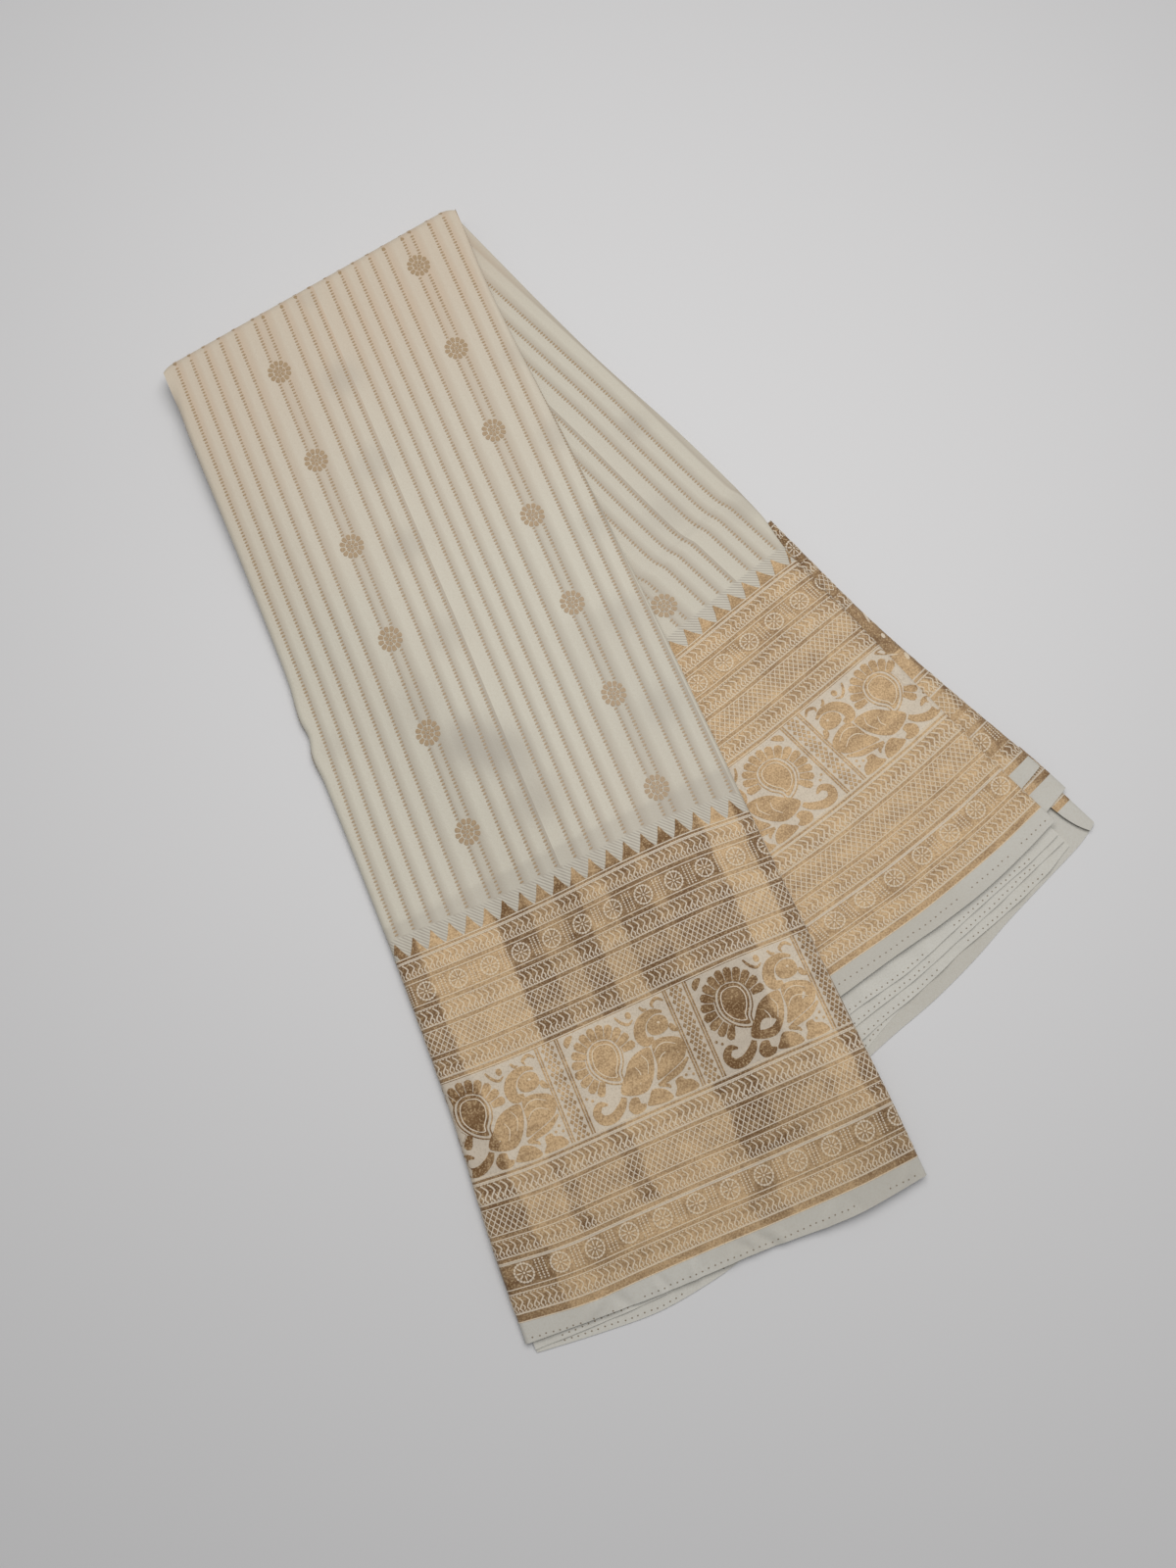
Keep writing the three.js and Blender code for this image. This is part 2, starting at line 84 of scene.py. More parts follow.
FOLD_LEFT = (-257.9, 204.34)  # left end of the fold line
FRONT_TURN = math.radians(23.3)  # each arm's turn from straight towards -Y
BACK_TURN = math.radians(44.0)
HALF_FAN = (BACK_TURN - FRONT_TURN) / 2
FAN = 2 * HALF_FAN
FOLD_TURN = (BACK_TURN + FRONT_TURN) / 2

TOP = CAD_BOX[1].z / MM  # top of the pile
BACK_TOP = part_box("inner_stretch")[1].z / MM  # top of the back arm
BACK_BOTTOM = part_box("folded_core")[0].z / MM  # underside of the back arm's hidden layers
LIFT = BACK_TOP + 0.3  # underside of the front arm where it lies on the back arm
FRONT_HEIGHT = TOP - LIFT
PILE_WIDTH = 200
FRONT_END = 548  # down each arm, where the hidden layers stop
BACK_END = 492
DRAPE = 80  # width of the slope where the front arm comes down from the back arm
FOLD_REACH = 6.8  # how far the fold bulges past the fold line
SPINE = 3.25  # radius of the front arm's left edge
SPINE_END = math.radians(125)
LIP = 2.4  # radius of the front arm's right edge
LIP_END = math.radians(100)
FOLD_END = 196  # along the fold line, where the fold's right corner is
FOLD_CORNERS = (9.0, 7.0)  # plan radius of the fold's left and right corners
CORNER_LENGTH = 42  # stretch next to the fold in which the edge rounds flatten out
CORNER_INSET = 6.5  # how far in the cloth starts at the fold's left corner
CORE_INSET = 2.2  # how far in the layers start at the fold's left corner
CURL = 2.4  # radius of the back arm's top edge
CURL_END = math.radians(85)
BACK_LEFT = 5  # across the back arm, where its cloth starts
HEM_SINK = 2.6  # how far the front arm's top cloth sinks towards its hem
HEM_SINK_START = 522
HEM_SINK_LENGTH = 50
FLAP_GAP = 1.3  # from one hem end to the next one up
FLAP_FALL = 0.5  # how far a hem end sags at its edge


def table(columns, *rows):
    """A table with named columns, as a dict of lists."""
    return {name: [row[i] for row in rows] for i, name in enumerate(columns.split())}


FRONT_EDGES = table(
    "down left right",
    (-40, 1.0, 197.0), (30, 0.5, 195.5), (130, 1.5, 198.5), (200, 1.4, 200.6),
    (223, -0.5, 201.2), (235, 0.8, 201.5), (246, -1.4, 201.7), (262, -0.2, 201.9),
    (360, 0.5, 202.5), (440, -1.0, 203.5), (500, -5.0, 204.5), (575, -10.0, 207.0),
)
FRONT_HEMS = table(
    "across panel layer2 layer3",
    (-12, 563.5, 568.0, 569.0), (32, 567.0, 570.0, 574.5), (60, 569.0, 570.5, 576.5),
    (92, 570.0, 569.0, 573.5), (113, 570.5, 568.0, 569.5), (162, 573.5, 569.0, 568.0),
    (208, 570.5, 567.0, 566.0),
)
BACK_EDGES = table(
    "down outline panel",
    (30, 197.5, 197.5), (156, 191.8, 191.8), (237, 192.3, 192.3), (300, 191.6, 189.5),
    (325, 190.6, 184.5), (385, 188.4, 181.0), (441, 189.6, 177.6), (505, 192.5, 175.2),
    (560, 192.5, 175.4),
)
BACK_HEMS = table(
    "across panel layer2 layer3 layer4 layer5 under",
    (4, 513.0, 524.0, 531.0, 539.0, 546.8, 548.0),
    (30, 517.2, 527.5, 534.0, 541.0, 543.7, 549.6),
    (60, 522.0, 532.8, 538.0, 544.2, 543.5, 552.4),
    (90, 527.5, 534.7, 540.0, 545.4, 543.6, 553.0),
    (120, 531.4, 536.5, 542.0, 548.2, 545.0, 551.8),
    (150, 532.7, 538.8, 543.0, 549.4, 546.0, 551.6),
    (176, 532.4, 539.2, 544.0, 547.5, 546.0, 551.4),
    (190, 532.4, 539.2, 544.0, 547.5, 546.0, 549.8),
)
# Where two lines of the weave lie on each arm: the tips of the spires and the end of the gold.
FRONT_LINES = table(
    "across tips gold_end",
    (-8, 358.4, 553.3), (27, 359.0, 558.3), (60, 359.3, 559.0), (95, 358.6, 559.8),
    (132, 357.1, 561.2), (165, 356.6, 561.4), (190, 358.4, 560.9), (206, 359.4, 560.3),
)
BACK_LINES = table(
    "across tips gold_end",
    (0, 309.0, 500.5), (33, 312.2, 506.0), (79, 316.0, 514.5), (100, 318.0, 517.4),
    (141, 320.6, 521.3), (174, 323.4, 522.2), (192, 326.0, 522.6),
)
TIPS = 359  # the same two lines on the weave itself
GOLD_END = 560
BORDER_START = 356  # where the border's own cloth piece starts, just above the tips

# Each pleat down the back arm: where it starts and ends, how far its inner side is from the top
# cloth's edge and its outer side from the arm's, its three heights, where its gold ends, and how
# far its lower corner is folded in.
PLEATS = table(
    "number start end inner outer valley crest nose gold_end corner",
    (1, 306, 508, -1.0, 0.0, 5.3, 6.6, 4.9, 499, 0.0),
    (2, 492.6, 526, -1.0, 1.4, 3.9, 4.0, 3.4, 514, 0.0),
    (3, 492.6, 549, 5.2, -1.5, 2.6, 2.65, 2.4, 531, 5.5),
)
PLEAT_LEAN = 1.8  # how much higher a pleat's end is at its outer side
# Across a pleat: how far out a place is, its rise to the crest and its fall to the nose.
PLEAT_SHAPE = table(
    "part out rise fall",
    (0 / 6, 0.0, 0.0, 0.0), (1 / 6, 0.2, 0.35, 0.0), (2 / 6, 0.42, 0.9, 0.0),
    (3 / 6, 0.62, 1.0, 0.0), (4 / 6, 0.82, 0.8, 0.1), (5 / 6, 0.96, 0.35, 0.5),
    (6 / 6, 1.0, 0.0, 1.0),
)

# Soft ridges and troughs of the cloth: middle, half-length, half-width, turn from the arm's own
# direction in degrees, and height.
FRONT_RELIEF = table(
    "across down long wide turn height",
    (40, 120, 110, 9, 2, 0.25), (92, 240, 120, 10, -2, -0.3), (140, 100, 90, 12, 1, 0.2),
    (176, 190, 120, 8, -1, -0.25), (22, 300, 80, 8, -3, 0.35), (92, 274, 26, 14, 12, -0.7),
    (118, 300, 40, 8, 4, 0.25), (58, 400, 60, 2.2, 0, -0.16), (129, 512, 34, 1.6, 2, -0.3),
    (126, 512, 40, 6, 2, 0.25), (188, 470, 70, 7, 1, 0.35), (16, 470, 60, 7, -4, 0.3),
    (30, 562, 8, 2.6, 58, 0.9), (44, 565, 7, 2.8, -30, -0.9), (62, 566, 5, 1.8, -12, 0.6),
    (66, 566, 6, 2.0, -16, -0.7), (81, 567, 7, 2.4, 14, 1.2), (85, 567, 6, 2.2, 18, -0.6),
    (100, 569, 5, 2.4, 42, 0.6), (110, 566, 7, 2.0, -48, -0.6), (113, 569, 5, 1.6, 8, 0.7),
    (121, 568, 8, 2.6, -34, -1.1), (128, 569, 5, 2.2, -20, 0.6), (152, 570, 8, 3.0, 40, 0.9),
    (168, 569, 7, 3.4, -30, -0.4), (196, 567, 8, 2.6, 35, 0.6),
)
BACK_RELIEF = table(
    "across down long wide turn height",
    (158, 277, 34, 3.2, 92, 0.8), (150, 283, 36, 3.6, 92, -0.7), (130, 180, 70, 9, 3, 0.25),
    (172, 150, 80, 7, -3, 0.3), (120, 400, 70, 12, -2, 0.3), (150, 430, 60, 9, 4, -0.25),
    (90, 470, 50, 9, 0, 0.3), (120, 527, 12, 3.4, 60, 0.35), (70, 516, 12, 3.2, 70, -0.3),
)
# Grey patches where a motif of the next layer down shows through the cloth. The last row, at the
# left edge, is painted shade of a dimple in the cloth.
FRONT_SHOWS_AND_SHADE = table(
    "across down radius strength",
    (94.5, -16, 8, 0.4), (94.5, 43, 11, 0.75), (92.5, 101, 11, 0.55), (91, 155, 10, 0.7),
    (90.5, 213, 11, 0.55), (84, 276, 15, 1.1), (100, 290, 14, 0.9), (97, 318, 12, 0.4),
    (193, 68, 9, 0.4), (194, 125, 10, 0.6), (193, 185, 10, 0.5), (184, 240, 12, 0.45),
    (184, 297, 12, 0.6), (62, 245, 16, 0.4), (103, 316, 15, 0.6), (74, 270, 12, 0.6),
    (90, 288, 14, 0.35), (12, 246, 8, 0.4),
)
BACK_SHOWS = table(
    "across down radius strength",
    (176, 210, 9, 0.7), (150, 262, 12, 0.5), (184, 290, 9, 0.6),
)

# ---- The weave, in millimetres across and down the cloth ----

REPEAT = 100  # the field's stripes repeat at this width
STRIPES = (8.8, 18.0, 27.4, 37.4, 47.4, 60.0, 66.0, 78.4, 88.2, 97.8)
ROSETTES_LEFT = (24.7, 86, 143.4, 202.8, 259.7, 318)  # down, in the middle of each double stripe
ROSETTES_RIGHT = (-6.6, 53.6, 111.2, 168.5, 225.6, 282.8, 339.6)
ROSETTE_PLACE = 63.0
ROSETTE_CLEAR = 8.0  # no dot is nearer to a rosette's middle
DOT_PITCH = 2.05
CHEVRON_PITCH, CHEVRON_START, CHEVRON_HEIGHT = 3.4, 1.2, 9.2
PIN_PITCH = 3.4
SPIRE_PITCH = 10.05
SPIRE_START = 3.7
NET_PITCH, NET_HEIGHT = 3.1, 2.1
UPPER_WHEELS = (10.3, 17.5)  # where they start, and their pitch
LOWER_WHEELS = (4.3, 18.2)
PANEL_PITCH = 71.7
BACK_STRETCH = 0.935  # the back arm's weave is this much narrower on its own places
BACK_ROSETTE = 110.4  # across the back arm, where its rosettes stand

DOTS_SEED, BANDS_SEED, PLEATS_SEED = 5, 1, 7

BANDS = table(
    "kind start end",
    ("spires", 359.0, 367.5), ("bar", 368.2, 369.8), ("chevrons", 370.4, 379.0),
    ("bar", 379.4, 381.8), ("wheels", 382.2, 393.8), ("bar", 394.2, 396.6),
    ("chevrons", 397.0, 406.0), ("bar", 406.3, 408.7), ("lattice", 409.2, 421.0),
    ("bar", 421.4, 423.8), ("chevrons", 424.2, 432.9), ("bar", 433.3, 435.8),
    ("birds", 436.4, 487.0), ("bar", 487.4, 489.6), ("chevrons", 490.2, 500.3),
    ("bar", 500.8, 503.2), ("lattice", 503.8, 516.2), ("bar", 516.7, 519.1),
    ("chevrons", 519.6, 527.8), ("bar", 528.2, 530.6), ("wheels", 531.2, 543.6),
    ("bar", 544.0, 546.2), ("chevrons", 546.7, 555.4), ("bar", 556.0, 560.0),
)
BIRDS_MIDDLE = 461.7
# Painted sheen and painted shade of the zari, standing in for how much light each stretch catches:
# stretches across the cloth, each with how dark it is.
UPPER_PAINTED_SHEEN = ((-20, 0.85), (15.5, 0.1), (57.5, 0.9), (76, 0.5), (90.5, 0.9), (103, 0.3))
UPPER_PAINTED_SHEEN += ((117.5, 0.85), (137, 0.55), (144, 0.85), (177, 0.12), (196, 0.95))
BIRD_PAINTED_SHEEN = ((-20, 0.9), (17, 0.12), (58, 0.4), (66, 0.15), (107, 0.35), (123, 0.55))
BIRD_PAINTED_SHEEN += ((136, 0.9), (171, 0.15), (196, 0.8))
LOWER_PAINTED_SHEEN = ((-20, 0.85), (17, 0.2), (38, 0.75), (46, 0.4), (71, 0.75), (80, 0.2))
LOWER_PAINTED_SHEEN += ((118, 0.3), (128.5, 0.9), (150, 0.6), (160, 0.4), (183, 0.15), (197, 0.9))
LOWEST_PAINTED_SHEEN = ((-20, 0.75), (20, 0.2), (40, 0.35), (58, 0.15), (122, 0.5), (138, 0.15))
LOWEST_PAINTED_SHEEN += ((172, 0.4), (196, 0.75))
BACK_PAINTED_SHEEN = ((0, 0.25), (74, 0.45), (104, 0.3), (124, 0.5), (129, 0.85))
# Each arm's painted sheen and shade, as zones down the border with where each zone ends.
FRONT_SHEEN_ZONES = ((436, UPPER_PAINTED_SHEEN), (487, BIRD_PAINTED_SHEEN), (528, LOWER_PAINTED_SHEEN), (600, LOWEST_PAINTED_SHEEN))
BACK_SHEEN_ZONES = ((440, BACK_PAINTED_SHEEN), (600, ((0, 0.22), (125, 0.45), (129, 0.75))))
PLEAT_SHEEN_ZONES = ((400, ((-20, 0.95),)), (470, ((-20, 0.75),)), (600, ((-20, 0.2), (50, 0.75))))

# The UV map "weave" holds these places as shares.
WEAVE_LEFT, WEAVE_DOWN, WEAVE_SPAN = -60, 650, 720


# ---- Small helpers ----


def lerp(a, b, share):
    return a + (b - a) * share


def clamp(value):
    return max(0.0, min(1.0, value))


def smooth(value):
    value = clamp(value)
    return value * value * (3 - 2 * value)


def shares(count):
    return [i / count for i in range(count + 1)]


def look(source, key, column, place):
    """A table's column at a place, on a smooth curve through its rows."""
    places, values = source[key], source[column]
    last = len(places) - 1
    if place <= places[0]:
        return values[0]
    if place >= places[last]:
        return values[last]
    i = next(k for k in range(last) if places[k + 1] >= place)
    slopes = []
    for k in (i, i + 1):
        a, b = max(k - 1, 0), min(k + 1, last)
        slopes.append((values[b] - values[a]) / (places[b] - places[a]))
    width = places[i + 1] - places[i]
    t = (place - places[i]) / width
    start = (1 + 2 * t) * (1 - t) ** 2 * values[i] + t * (1 - t) ** 2 * width * slopes[0]
    end = t * t * (3 - 2 * t) * values[i + 1] + t * t * (t - 1) * width * slopes[1]
    return start + end


def relief(source, across, down):
    """The height of the cloth's soft ridges and troughs at a place."""
    total = 0.0
    for middle, place, long, wide, turn, height in zip(*source.values()):
        x, y = across - middle, down - place
        if abs(x) + abs(y) > 3 * (long + wide):
            continue
        c, s = math.cos(math.radians(turn)), math.sin(math.radians(turn))
        u, v = (x * c + y * s) / wide, (y * c - x * s) / long
        total += height * math.exp(-u * u - v * v)
    return total


def shows(source, across, down):
    """How much a motif of the next layer shows through at a place, and on the front the painted
    shade of a dimple at its left edge.
    """
    total = 0.0
    for x, y, radius, strength in zip(*source.values()):
        distance = math.hypot(across - x, down - y) / radius
        total += strength * math.exp(-(distance**3))
    # Besides the motifs, the layers show evenly beside the border and at the right.
    if source is FRONT_SHOWS_AND_SHADE:
        total += 0.7 * smooth((down - 347 + 8 * across / PILE_WIDTH) / 4)
        total += 0.3 * smooth((down - 228) / 10) * smooth((across - 135) / 30)
    else:
        total += 0.3
    return min(total, 1.5)


# ---- Places on the pile ----


def on_arm(turn, across, down, up):
    """A point of an arm in the pile's own millimetres."""
    c, s = math.cos(turn), math.sin(turn)
    return (FOLD_LEFT[0] + across * c + down * s, FOLD_LEFT[1] + across * s - down * c, up)


def on_front(across, down, up):
    return on_arm(FRONT_TURN, across, down, up)


def on_back(across, down, up):
    return on_arm(BACK_TURN, across, down, up)


def on_bend(across, turn, middle, radius, reach):
    """A point of the bend over the fold line: turn 0 is the front arm, turn pi the back arm."""
    along = across / math.cos(HALF_FAN)
    left, right = across / FOLD_CORNERS[0], (FOLD_END - across) / FOLD_CORNERS[1]
    from_corner = 1 - clamp(min(left, right))
    out = reach * math.sin(turn) * (0.12 + 0.88 * math.sqrt(1 - from_corner**2))
    x = FOLD_LEFT[0] + along * math.cos(FOLD_TURN) - out * math.sin(FOLD_TURN)
    y = FOLD_LEFT[1] + along * math.sin(FOLD_TURN) + out * math.cos(FOLD_TURN)
    return (x, y, middle + radius * math.cos(turn))


def front_down(across, row):
    """Down the front arm on a row, which starts on the fold line and turns square to the arm."""
    return row - across * math.tan(HALF_FAN) * (1 - row / FRONT_END)


def back_down(across, row):
    return row + across * math.tan(HALF_FAN) * (1 - row / BACK_END)


def rest(across, down):
    """Height of what the front arm lies on."""
    beside = down * math.sin(FAN) - across * math.cos(FAN)
    past = across * math.sin(FAN) + down * math.cos(FAN) - BACK_HEMS["under"][3]
    return LIFT * (1 - smooth(max(beside, past) / DRAPE))


def sink(down):
    """How much lower the front arm's top cloth is towards its hem."""
    return HEM_SINK * smooth((down - HEM_SINK_START) / HEM_SINK_LENGTH)


def rounding(row):
    """How far the arm's edges have their full round, from none in the fold to 1."""
    return smooth(row / CORNER_LENGTH)


def front_edge(side, down):
    return look(FRONT_EDGES, "down", side, down)


def back_edge(side, down):
    return look(BACK_EDGES, "down", side, down)


def weave_down(lines, across, down):
    """Down the weave itself, from a place on an arm."""
    tips = look(lines, "across", "tips", across)
    gold_end = look(lines, "across", "gold_end", across)
    if down <= tips:
        return down - tips + TIPS
    if down <= gold_end:
        return TIPS + (GOLD_END - TIPS) * (down - tips) / (gold_end - tips)
    return GOLD_END + down - gold_end


def places_down(lines, hems, fold_of):
    """Rows of an arm as shares: 0 at the fold line, 1 at the border's start and 2 at the hem.
    A row gives how far down it is at a place across."""

    def down_at(share):
        def place(across):
            border = look(lines, "across", "tips", across) - (TIPS - BORDER_START)
            hem = look(hems, "across", "panel", across)
            if share <= 1:
                return lerp(fold_of(across), border, share)
            return lerp(border, hem, share - 1)

        return place

    return down_at


def weave_uv(across, down):
    return ((across - WEAVE_LEFT) / WEAVE_SPAN, (WEAVE_DOWN - down) / WEAVE_SPAN)


# ---- Meshes ----


def new_object(name, data):
    made = bpy.data.objects.new(name, data)
    bpy.context.scene.collection.objects.link(made)
    return made


def mesh_of(name, points, faces, uvs=None, tints=None):
    """A smooth mesh from points in millimetres, with each point's own place on the weave."""
    mesh = bpy.data.meshes.new(name)
    mesh.from_pydata([Vector(p) * MM for p in points], [], faces)
    if uvs:
        layer = mesh.uv_layers.new(name="weave")
        flat = [c for loop in mesh.loops for c in uvs[loop.vertex_index]]
        layer.data.foreach_set("uv", flat)
    if tints:
        shade = mesh.attributes.new("show_through", "FLOAT", "POINT")
        shade.data.foreach_set("value", tints)
    mesh.polygons.foreach_set("use_smooth", [True] * len(mesh.polygons))
    mesh.set_sharp_from_angle(angle=math.radians(50))
    mesh.update()
    return mesh


def grid_faces(rows, width):
    """Quads of a grid of points, given row by row from the hem up and from left to right."""
    faces = []
    for r in range(rows - 1):
        for i in range(width - 1):
            a = r * width + i
            faces.append((a, a + 1, a + 1 + width, a + width))
    return faces


def open_sheet(name, rows, uvs, tints=None):
    """One face of a cloth, without thickness, which the weave is laid on."""
    points = [p for row in rows for p in row]
    flat_uvs = [uv for row in uvs for uv in row]
    return mesh_of(name, points, grid_faces(len(rows), len(rows[0])), flat_uvs, tints)


def cloth(name, rows, uvs, wall, finish, tints=None):
    """A piece of cloth with a closed wall, and the open sheet of its outer face."""
    tint_row = [t for row in tints for t in row] if tints else None
    sheet = open_sheet(name + "_face", rows, uvs, tint_row)
    count, width = len(rows), len(rows[0])
    outer = [Vector(p) for row in rows for p in row]
    inner = [p - n.vector * wall for p, n in zip(outer, sheet.vertex_normals)]
    size = len(outer)
    faces = [tuple(p.vertices) for p in sheet.polygons]
    faces += [tuple(size + v for v in reversed(face)) for face in faces]
    rim = list(range(width)) + [r * width + width - 1 for r in range(1, count)]
    rim += [(count - 1) * width + i for i in range(width - 2, -1, -1)]
    rim += [r * width for r in range(count - 2, 0, -1)]
    for k, a in enumerate(rim):
        b = rim[(k + 1) % len(rim)]
        faces.append((a, a + size, b + size, b))
    flat_uvs = [uv for row in uvs for uv in row]
    doubled = tint_row * 2 if tint_row else None
    mesh = mesh_of(name, outer + inner, faces, flat_uvs * 2, doubled)
    mesh.materials.append(finish)
    piece = new_object(name, mesh)
    return piece, new_object(name + "_face", sheet)


def loft(name, rings, finish):
    """A closed solid through closed rings of points."""
    width = len(rings[0])
    faces = []
    for r in range(len(rings) - 1):
        for i in range(width):
            a, j = r * width + i, r * width + (i + 1) % width
            faces.append((a, j, j + width, a + width))
    points = [p for ring in rings for p in ring]
    for start, turned in ((0, True), ((len(rings) - 1) * width, False)):
        middle = len(points)
        ring = points[start : start + width]
        points.append(tuple(sum(c) / width for c in zip(*ring)))
        for i in range(width):
            a, b = start + i, start + (i + 1) % width
            faces.append((b, a, middle) if turned else (a, b, middle))
    mesh = mesh_of(name, points, faces)
    mesh.materials.append(finish)
    return new_object(name, mesh)


# ---- Materials ----


def linear(code):
    """A linear colour from an sRGB hex code."""
    parts = [int(code[i : i + 2], 16) / 255 for i in (1, 3, 5)]
    return [c / 12.92 if c <= 0.04045 else ((c + 0.055) / 1.055) ** 2.4 for c in parts]


def add(tree, kind, links=None, **settings):
    """A node with its settings. Each link is a value, another node's output, or that node for its
    first output, by socket. A kind without "Node" in it is short for a shader node."""
    made = tree.nodes.new(kind if "Node" in kind else "ShaderNode" + kind)
    for name, value in settings.items():
        setattr(made, name, value)
    for socket, value in (links or {}).items():
        if isinstance(value, bpy.types.Node):
            value = value.outputs[0]
        if isinstance(value, bpy.types.NodeSocket):
            tree.links.new(value, made.inputs[socket])
        else:
            made.inputs[socket].default_value = value
    return made


def fill_ramp(node, stops, interpolation="LINEAR"):
    """Gives a colour ramp its stops, each a place from 0 to 1 and a grey value."""
    ramp = node.color_ramp
    ramp.interpolation = interpolation
    while len(ramp.elements) > 1:
        ramp.elements.remove(ramp.elements[-1])
    for i, (place, value) in enumerate(stops):
        element = ramp.elements[0] if i == 0 else ramp.elements.new(place)
        element.position = place
        element.color = (value, value, value, 1.0)
    return node


def new_material(name):
    material = bpy.data.materials.new(name)
    material.use_nodes = True
    material.node_tree.nodes.clear()
    return material, material.node_tree


def weave_places(tree):
    """Across and down the weave, in millimetres."""
    parts = add(tree, "SeparateXYZ", {0: add(tree, "UVMap", uv_map="weave")})
    links = {0: parts, 1: WEAVE_SPAN, 2: WEAVE_LEFT}
    across = add(tree, "Math", links, operation="MULTIPLY_ADD")
    links = {0: parts.outputs[1], 1: -WEAVE_SPAN, 2: WEAVE_DOWN}
    return across, add(tree, "Math", links, operation="MULTIPLY_ADD")


def noise(tree, scale, detail, **links):
    """Noise on the object's own places, which turn and move with it."""
    coords = add(tree, "TexCoord")
    sockets = {"Vector": coords.outputs["Object"], "Scale": scale, "Detail": detail, **links}
    return add(tree, "TexNoise", sockets)


PAINTED_SHEEN_EDGE = 2.2  # width of the change from one painted sheen of the zari to the next
PAINTED_SHEEN_WOBBLE = 5.0  # how far that change wanders across
PAINTED_SHEEN_CLOUD = 0.28  # how much darker or brighter the painted sheen makes the zari in its clouds
PAINTED_SHEEN_LEFT, PAINTED_SHEEN_SPAN = -20, 240


def painted_zari_sheen(tree, across, down, sheen_zones):
    """How dark the painted sheen and shade make the zari at a place: a ramp across for each zone
    down the border.
    """
    links = {"W": down, "Scale": 0.05, "Detail": 1.0}
    wobble = add(tree, "TexNoise", links, noise_dimensions="1D")
    links = {0: wobble, 1: PAINTED_SHEEN_WOBBLE, 2: across}
    shifted = add(tree, "Math", links, operation="MULTIPLY_ADD")
    left = PAINTED_SHEEN_LEFT + PAINTED_SHEEN_WOBBLE / 2
    share = add(tree, "MapRange", {0: shifted, 1: left, 2: left + PAINTED_SHEEN_SPAN})
    tone = None
    for end, stretches in sheen_zones:
        stops = []
        for place, value in stretches:
            at = (place - PAINTED_SHEEN_LEFT) / PAINTED_SHEEN_SPAN
            if stops:
                stops.append((at - PAINTED_SHEEN_EDGE / PAINTED_SHEEN_SPAN, stops[-1][1]))
            stops.append((clamp(at), value))
        ramp = fill_ramp(add(tree, "ValToRGB", {0: share}), stops)
        if tone is None:
            tone = ramp
        else:
            past = add(tree, "Math", {0: down, 1: start}, operation="GREATER_THAN")
            tone = add(tree, "Mix", {0: past, 2: tone, 3: ramp})
        start = end
    squeezed = add(tree, "Math", {0: down, 1: 2.2}, operation="MULTIPLY")
    place = add(tree, "CombineXYZ", {0: across, 1: squeezed})
    cloud = add(tree, "TexNoise", {"Vector": place, "Scale": 0.06, "Detail": 2.0})
    cloud = add(tree, "MapRange", {0: cloud, 1: 0.3, 2: 0.7, 3: -PAINTED_SHEEN_CLOUD, 4: PAINTED_SHEEN_CLOUD})
    return add(tree, "Math", {0: tone, 1: cloud}, operation="ADD", use_clamp=True)


def twill(tree, across, down, pitch, slant):
    """Fine slanting ribs, as a value from 0 to 1."""
    slanted = add(tree, "Math", {0: down, 1: slant, 2: across}, operation="MULTIPLY_ADD")
    turned = add(tree, "Math", {0: slanted, 1: 2 * math.pi / pitch}, operation="MULTIPLY")
    wave = add(tree, "Math", {0: turned}, operation="SINE")
    return add(tree, "Math", {0: wave, 1: 0.5, 2: 0.5}, operation="MULTIPLY_ADD")


def coats(tree, colour, *layers):
    """A colour under further ones, each with how much of it shows."""
    for share, over in layers:
        links = {0: share, 6: colour, 7: over}
        colour = add(tree, "Mix", links, data_type="RGBA").outputs[2]
    return colour


GILT = 0.25  # how metallic gilt thread is, as most of it is silk
FINE, COARSE = 0.0001, 0.0002  # depth of a cloth's grain, in metres


def surface(tree, colour, height, depth=FINE, roughness=0.6, metallic=0.0, sheen=0.15):
    """The finished shader of a cloth, with the relief of its grain."""
    bump = add(tree, "Bump", {"Strength": 0.5, "Distance": depth, "Height": height})
    links = {
        "Base Color": colour,
        "Roughness": roughness,
        "Metallic": metallic,
        "Sheen Weight": sheen,
        "Sheen Roughness": 0.5,
        "IOR": 1.46,
        "Normal": bump,
    }
    add(tree, "OutputMaterial", {0: add(tree, "BsdfPrincipled", links)})


def border_threads(tree, across, down, sheen_zones, colours):
    """The border's gold, its plain silk and the silk of its figures, each lighter or darker by the
    zari's painted sheen and shade and speckled with painted shade where the thread turns, the gold
    with painted glints too, with the ribs and the grain of the weave."""
    tone = painted_zari_sheen(tree, across, down, sheen_zones)
    grain = noise(tree, 1100.0, 1.0)
    # Painted glints and painted shade: the fine grain speckles the threads darker, and the gold
    # brighter, where they turn.
    low = add(tree, "MapRange", {0: grain, 1: 0.5, 2: 0.3, 4: 0.42})
    high = add(tree, "MapRange", {0: grain, 1: 0.5, 2: 0.72, 4: 0.42})
    made = []
    # Lit and shaded copies of each thread, mixed by the zari's painted sheen and shade.
    for bright, dull, shade in (
        ("zari_lit", "zari_shaded", "zari_shaded"),
        ("silk_lit", "silk_shaded", "silk_shade"),
        ("figure_silk_lit", "figure_silk", "silk_shade"),
    ):
        made.append(coats(tree, colours[bright], (tone, colours[dull]), (low, colours[shade])))
    made[0] = coats(tree, made[0], (high, colours["zari_glint"]))
    return (*made, twill(tree, across, down, 0.62, 0.6), grain)


